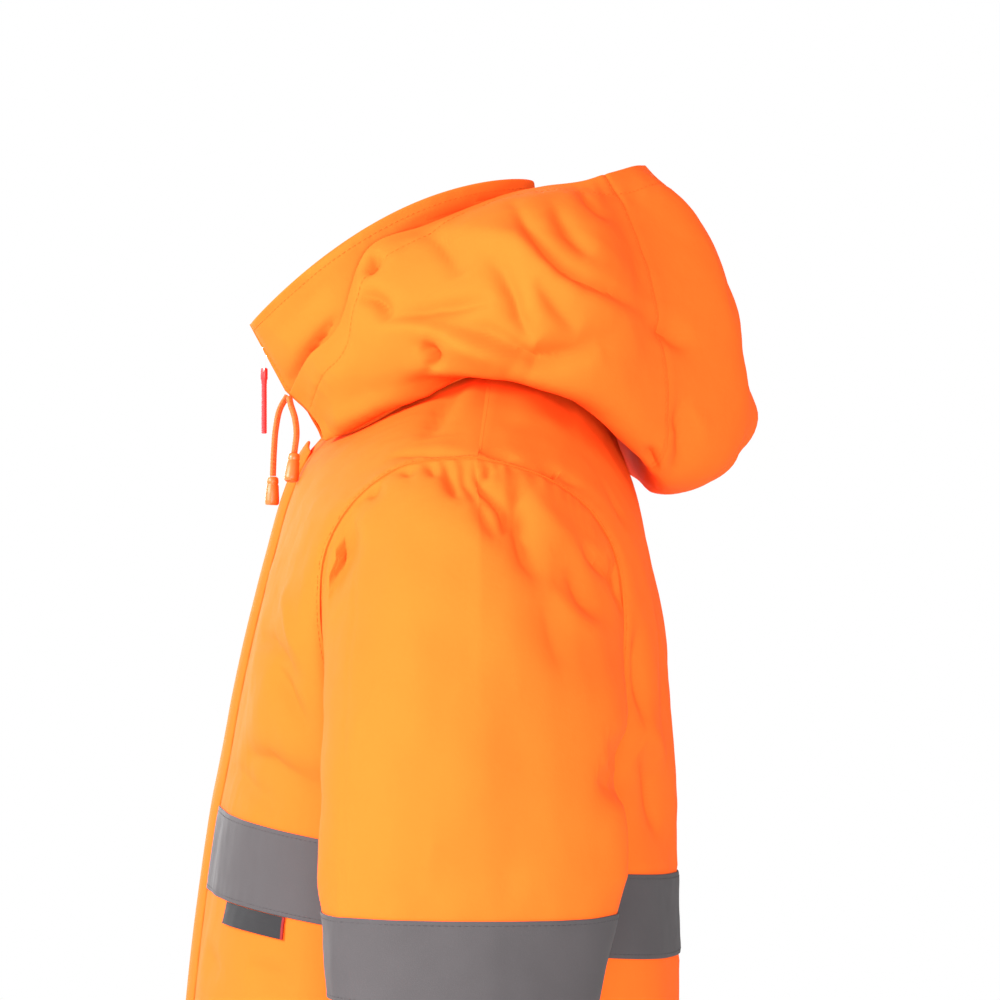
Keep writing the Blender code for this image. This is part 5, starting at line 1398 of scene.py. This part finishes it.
def cloth_piece(node, slot, surface, thickness, left, look, closed=False):
    """The cloth of one solid, in its place: a wall of even thickness under a surface; left is the
    share of the thickness that stands near its edges."""
    half = surface.normals * thickness / 2 * np.broadcast_to(left, surface.points.shape[:2])[..., None]
    middle = surface.points - surface.normals * thickness / 2
    outer, inner = middle + half, middle - half
    if closed:
        outer, inner = outer[:, :-1], inner[:, :-1]
    made = sheet(f"cloth_{node}", outer, inner, finishes(look)[CLOTH_FINISH[slot]], closed)
    return settle(made, slot, node)


class JACKET_OT_fronts(bpy.types.Operator):
    """Build both front panels"""
    bl_idname = "jacket.fronts"
    bl_label = "Fronts"

    def execute(self, context):
        look = context.scene.jacket_look
        runs = []
        for name, side in SIDES:
            front = front_surface(side, look)
            left = rounded(front.ats[:, None], SHELL)
            panel = cloth_piece(f"front_{name}", "shell_cloth", front, SHELL, left, look)
            runs += [sewn_by_armhole(front), front.at(HEM_SEWN, np.linspace(BAND_SHARE, 1, 90))]
        sew("sewing_fronts", runs, look)
        return {"FINISHED"}


class JACKET_OT_back(bpy.types.Operator):
    """Build the back panel"""
    bl_idname = "jacket.back"
    bl_label = "Back"

    def execute(self, context):
        look = context.scene.jacket_look
        halves = [back_surface(side, look) for _, side in SIDES]
        left = rounded(PANEL_ATS[:, None], SHELL)
        panel = settle(joined_halves("cloth_back", halves, left, finishes(look)["coated_cloth"]),
                       "shell_cloth", "back")
        runs = []
        for half in halves:
            runs += [sewn_by_armhole(half), half.at(HEM_SEWN, np.linspace(0, 1, 90)),
                     half.at(SHOULDER_AT - 0.0020, np.linspace(0.03, 0.985, 60))]
        sew("sewing_back", runs, look)
        return {"FINISHED"}


def joined_halves(name, halves, left, finish):
    """One cloth from two half grids that share their first column as far as the nape."""
    rows, columns = halves[0].points.shape[:2]
    count = rows * columns
    own = np.arange(count).reshape(rows, columns)
    number = own + count
    nape = int(np.argmin(abs(PANEL_ATS - NAPE)))
    number[:nape + 1, 0] = own[:nape + 1, 0]
    quads = grid_quads(rows, columns)
    quads = np.concatenate([quads, number.ravel()[quads][:, ::-1]])
    used, quads = np.unique(quads, return_inverse=True)
    outer, inner = ([(half.points + half.normals * (share * left - 1)[..., None] * SHELL / 2).reshape(-1, 3)
                     for half in halves] for share in (1, -1))
    uv = grid_places(halves[0].points).reshape(-1, 2)
    uv[:, 0] -= uv[:, 0].min()
    uv = np.concatenate([uv, uv * np.array([-1.0, 1.0])])
    outer, inner = np.concatenate(outer)[used], np.concatenate(inner)[used]
    return wall(name, outer, inner, quads.reshape(-1, 4), uv[used], finish)


class JACKET_OT_sleeves(bpy.types.Operator):
    """Build both sleeves"""
    bl_idname = "jacket.sleeves"
    bl_label = "Sleeves"

    def execute(self, context):
        look = context.scene.jacket_look
        runs = []
        for name, side in SIDES:
            sleeve = sleeve_surface(side, look)
            left = rounded(CUFF - sleeve.ats[:, None], SHELL)
            made = cloth_piece(f"sleeve_{name}", "shell_cloth", sleeve, SHELL, left, look, closed=True)
            runs.append(sleeve.at(CUFF - CUFF_SEWN, np.linspace(0, 2 * math.pi, 150)))
        sew("sewing_sleeves", runs, look)
        return {"FINISHED"}


class JACKET_OT_collar(bpy.types.Operator):
    """Build the stand collar"""
    bl_idname = "jacket.collar"
    bl_label = "Collar"

    def execute(self, context):
        look = context.scene.jacket_look
        collar = collar_surface(look)
        high = lengths_down(collar.points)
        left = rounded(high[-1:] - high, COLLAR_CLOTH)
        made = cloth_piece("collar", "hood_cloth", collar, COLLAR_CLOTH, left, look)
        sides = [collar.at(np.linspace(0.03, 0.95, 40), share) for share in (0.016, 1.984)]
        sew("sewing_collar", [collar.at(0.945, np.linspace(0.01, 1.99, 260)), *sides], look)
        return {"FINISHED"}


class JACKET_OT_hood(bpy.types.Operator):
    """Build the three pieces of the hood"""
    bl_idname = "jacket.hood"
    bl_label = "Hood"

    def execute(self, context):
        look = context.scene.jacket_look
        middles, runs = [], []
        for name, side in SIDES:
            hood = hood_surface(side, look)
            down = lengths_down(hood.points)
            part = hood.columns(slice(None, HOOD_SEAM_COLUMN + 1))
            draw_in(part.points[:, -1], part.points[:, -2], SEAM_GAP / 2)
            left = rounded(down[:, :HOOD_SEAM_COLUMN + 1], HOOD_CLOTH)
            made = cloth_piece(f"hood_{name}", "hood_cloth", part, HOOD_CLOTH, left, look)
            rounds = np.linspace(0.08, HOOD_ROUNDS[-1], 150)
            tunnel = np.interp(rounds, HOOD_ROUNDS, RIM_SEWN / down[-1])
            runs += [hood.at(tunnel, rounds), hood.at(np.linspace(0.01, 0.99, 90), HOOD_SEAM - 0.06)]
            middle = hood.columns(slice(HOOD_SEAM_COLUMN, None))
            draw_in(middle.points[:, 0], middle.points[:, 1], SEAM_GAP / 2)
            middles.append((middle, down[:, HOOD_SEAM_COLUMN:]))
        (first, down), (second, _) = middles
        points, normals, down = (np.concatenate([one, other[:, -2::-1]], axis=1) for one, other in (
            (first.points, second.points), (first.normals, second.normals), (down, down)))
        whole = Surface(HOOD_SHARES, np.arange(points.shape[1]), points, normals)
        made = cloth_piece("hood_centre", "hood_cloth", whole, HOOD_CLOTH, rounded(down, HOOD_CLOTH), look)
        sew("sewing_hood", runs, look)
        return {"FINISHED"}


class JACKET_OT_flap(bpy.types.Operator):
    """Build the storm flap over the zip"""
    bl_idname = "jacket.flap"
    bl_label = "Storm flap"

    def execute(self, context):
        look = context.scene.jacket_look
        flap = flap_surface(look)
        across = lengths_along(flap.points)
        ends = rounded(np.minimum(flap.ats, THROAT - flap.ats)[:, None], FLAP)
        edges = rounded(np.minimum(across, across[:, -1:] - across) + 0.0002, FLAP)
        left = ends * edges * (1 - 0.45 * np.exp(-across / 0.004))
        made = cloth_piece("storm_flap", "shell_cloth", flap, FLAP, left, look)
        ats = places(0.004, HEM + 0.003, THROAT - 0.003)
        sew("sewing_flap", [flap.at(ats, FLAP_SEWN)], look)
        return {"FINISHED"}


def band(label, place, under, ats, look, closed=False):
    """A tape from the (points, normals) grids of its underside, with a row at each of ats: a little
    thinner along both sewn edges, drawn in by each stitch and rounded at its rims."""
    foot, normals = under
    sewn = np.minimum(abs(ats - ats[0]), abs(ats - ats[-1]))
    press = TAPE_PRESS * np.exp(-((sewn - TAPE_SEWN) / TAPE_PRESS_WIDTH) ** 2)
    dimple = press[:, None] * (0.7 + 0.3 * np.cos(2 * math.pi * lengths_along(foot) / look.stitch))
    broad = TAPE_UNEVEN * facets(foot, TAPE_UNEVEN_SIZE, 171) * np.minimum(sewn / 0.008, 1)[:, None]
    thick = TAPE * (0.62 + 0.38 * rounded(sewn, TAPE * 1.2))[:, None] - dimple
    top = foot + normals * (thick + np.clip(broad, -TAPE_UNEVEN, TAPE_UNEVEN))[..., None]
    if closed:
        top, foot = top[:, :-1], foot[:, :-1]
    made = sheet(f"tape_{label}_{place}", top, foot, finishes(look)["bead_tape"], closed)
    return settle(made, "reflective_tape", f"{label}_band_{place}")


def sewn_edges(surface, low, top, shares):
    """The two rows of sewing along a tape."""
    return [surface.at(at, shares, TAPE_FACE) for at in (low + TAPE_SEWN, top - TAPE_SEWN)]


class JACKET_OT_tapes(bpy.types.Operator):
    """Build the reflective tapes round the body and the sleeves"""
    bl_idname = "jacket.tapes"
    bl_label = "Reflective tapes"

    def execute(self, context):
        look = context.scene.jacket_look
        runs = []
        shares = np.concatenate([[BAND_SHARE], FRONT_SHARES[FRONT_SHARES > BAND_SHARE + 0.002]])
        sides = [(name, front_surface(side, look), back_surface(side, look), sleeve_surface(side, look))
                 for name, side in SIDES]
        for label, low, top in (("chest", CHEST_LOW, CHEST_TOP), ("waist", WAIST_LOW, WAIST_TOP)):
            ats = edged(low, top, *TAPE_GRID)
            for name, front, _, _ in sides:
                made = band(label, name, front.patch(ats, shares, SEAM_GAP), ats, look)
                runs += sewn_edges(front, low, top, np.linspace(BAND_SHARE + 0.006, 0.998, 120))
            halves = [back.patch(ats, BACK_SHARES, SEAM_GAP) for _, _, back, _ in sides]
            joint = [np.concatenate([right[:, :0:-1], left], axis=1) for left, right in zip(*halves)]
            made = band(label, "back", joint, ats, look)
            for _, _, back, _ in sides:
                runs += sewn_edges(back, low, top, np.linspace(0, 0.998, 120))
        for name, _, _, sleeve in sides:
            for label, (low, top) in (("arm", ARM_BAND), ("wrist", WRIST_BAND)):
                ats = edged(low, top, *TAPE_GRID)
                made = band(label, name, sleeve.patch(ats, SLEEVE_TURNS, SEAM_GAP), ats, look, closed=True)
                runs += sewn_edges(sleeve, low, top, np.linspace(0, 2 * math.pi, 150))
        sew("sewing_tapes", runs, look, "tape_thread", "reflective_tape")
        return {"FINISHED"}


class JACKET_OT_zip(bpy.types.Operator):
    """Build the zip's teeth and its pull; finish its tape and slider"""
    bl_idname = "jacket.zip"
    bl_label = "Zip"

    def execute(self, context):
        look = context.scene.jacket_look
        made = finishes(look)
        for node, finish in (("zip", "zip_cloth"), ("zip_slider", "plated_steel")):
            bpy.data.objects[node].material_slots[0].material = made[finish]
        settle(teeth("zip_teeth", look, made["tooth_plastic"]), "zip_tape")
        outline = [(GRIP_END, 0.0010), (GRIP_END + 0.0004, 0.0017)]
        for height in np.arange(GRIP_END + 0.0012, GRIP_TOP - GRIP_HEAD_LENGTH, GRIP_RIB):
            outline += [(height, GRIP_RADIUS), (height + 0.00035, GRIP_RADIUS - 0.00022),
                        (height + 0.00075, GRIP_RADIUS)]
        outline += GRIP_HEAD_OUTLINE
        grip = turned_solid("pull_grip", outline, HINGE, (0, 0, 1), made["grip_rubber"], sides=20)
        settle(grip, "pull_grip", "zip_pull", body="pull")
        settle(hanging_loop("pull_loop", made["plated_steel"]), "slider_metal", body="pull")
        return {"FINISHED"}


class JACKET_OT_cords(bpy.types.Operator):
    """Build the hood's two drawcord ends and their bells"""
    bl_idname = "jacket.cords"
    bl_label = "Drawcords"

    def execute(self, context):
        made = finishes(context.scene.jacket_look)
        for name, route in CORD_ROUTES:
            path = cord_path(route)
            cord = settle(tube(f"cord_{name}", path, CORD / 2, made["drawcord_braid"], sides=16), "cord",
                          f"drawcord_{name}")
            down = unit(path[-1] - path[-3])
            bell = turned_solid(f"bell_{name}", BELL_OUTLINE, path[-1] + down * SEAM_GAP, down,
                                made["bell_plastic"], sides=32, edge=0.012)
            settle(bell, "cord_end", f"cord_end_{name}")
        return {"FINISHED"}


class JACKET_OT_label(bpy.types.Operator):
    """Build the small bare label under the left chest tape"""
    bl_idname = "jacket.label"
    bl_label = "Label"

    def execute(self, context):
        look = context.scene.jacket_look
        front = front_surface(1, look)
        down = np.linspace(0.02, 1, 22)
        across = np.concatenate([[0, 0.01, 0.03], np.linspace(0.06, 0.94, 24), [0.97, 0.99, 1]])
        curl = LABEL_CLOTH * (1 + down[:, None] ** 2 * (1 + 0.7 * np.cos(across * 4.2)[None, :]))
        shares = LABEL_SHARES[0] + (LABEL_SHARES[1] - LABEL_SHARES[0]) * across
        foot, normals = front.patch(CHEST_LOW - LABEL_DROP * down, shares, curl)
        made = sheet("woven_label", foot + normals * LABEL_CLOTH, foot, finishes(look)["ribbed_label"])
        settle(made, "label_weave", "label")
        return {"FINISHED"}


class JACKET_OT_stage(bpy.types.Operator):
    """Set the floor, the soft lights and the camera"""
    bl_idname = "jacket.stage"
    bl_label = "Stage"

    def execute(self, context):
        look = context.scene.jacket_look
        scene = context.scene
        turn = np.linspace(0, 2 * math.pi, 65)[:-1]
        rings = np.array(FLOOR_RINGS)[:, None]
        count = (len(FLOOR_RINGS), len(turn))
        points = np.stack([rings * np.cos(turn), rings * np.sin(turn), np.full(count, FLOOR)], axis=-1)
        paint = moulded_finish("pale_floor", FLOOR_COLOUR, 0.8, gloss=0.1)
        floor = add_mesh("floor", points.reshape(-1, 3), grid_quads(*count, closed=True)[:, ::-1],
                         points[..., :2].reshape(-1, 2), paint)
        for name, place, size in LIGHTS:
            lamp = bpy.data.lights.new(name, "AREA")
            lamp.energy = getattr(look, f"{name}_power")
            lamp.shape = "DISK"
            lamp.size = size
            thing = bpy.data.objects.new(name, lamp)
            thing.location = place
            aim = Vector(LIGHTS_AIM) - Vector(place)
            thing.rotation_euler = aim.to_track_quat("-Z", "Y").to_euler()
            scene.collection.objects.link(thing)
        world = bpy.data.worlds.new("studio")
        world.use_nodes = True
        sky = world.node_tree.nodes["Background"].inputs
        sky["Color"].default_value = (1.0, 1.0, 1.0, 1.0)
        sky["Strength"].default_value = 1.0
        scene.world = world
        scene.view_settings.view_transform = "Standard"
        view = bpy.data.cameras.new("camera")
        view.lens = CAMERA_LENS
        camera = bpy.data.objects.new("camera", view)
        azimuth = math.radians(CAMERA_AZIMUTH)
        away = Vector((math.sin(azimuth), -math.cos(azimuth), 0.0))
        camera.location = Vector(LOOK_AT) + away * look.camera_distance
        camera.rotation_euler = (-away).to_track_quat("-Z", "Y").to_euler()
        scene.collection.objects.link(camera)
        scene.camera = camera
        return {"FINISHED"}


class JACKET_PT_panel(bpy.types.Panel):
    """The jacket's sizes, colours and pieces"""
    bl_label = "Work jacket"
    bl_idname = "JACKET_PT_panel"
    bl_space_type = "VIEW_3D"
    bl_region_type = "UI"
    bl_category = "Jacket"

    def draw(self, context):
        look = context.scene.jacket_look
        for name in JacketLook.__annotations__:
            self.layout.prop(look, name)
        for step in STEPS:
            self.layout.operator(step.bl_idname)


STEPS = (JACKET_OT_stage, JACKET_OT_cords, JACKET_OT_fronts, JACKET_OT_back, JACKET_OT_sleeves,
         JACKET_OT_collar, JACKET_OT_hood, JACKET_OT_flap, JACKET_OT_tapes, JACKET_OT_zip, JACKET_OT_label)


def register():
    for kind in (JacketLook, *STEPS, JACKET_PT_panel):
        bpy.utils.register_class(kind)
    bpy.types.Scene.jacket_look = bpy.props.PointerProperty(type=JacketLook)


def unregister():
    del bpy.types.Scene.jacket_look
    for kind in reversed((JacketLook, *STEPS, JACKET_PT_panel)):
        bpy.utils.unregister_class(kind)


def main():
    register()
    for step in STEPS:
        group, name = step.bl_idname.split(".")
        getattr(getattr(bpy.ops, group), name)()


if __name__ == "__main__":
    main()
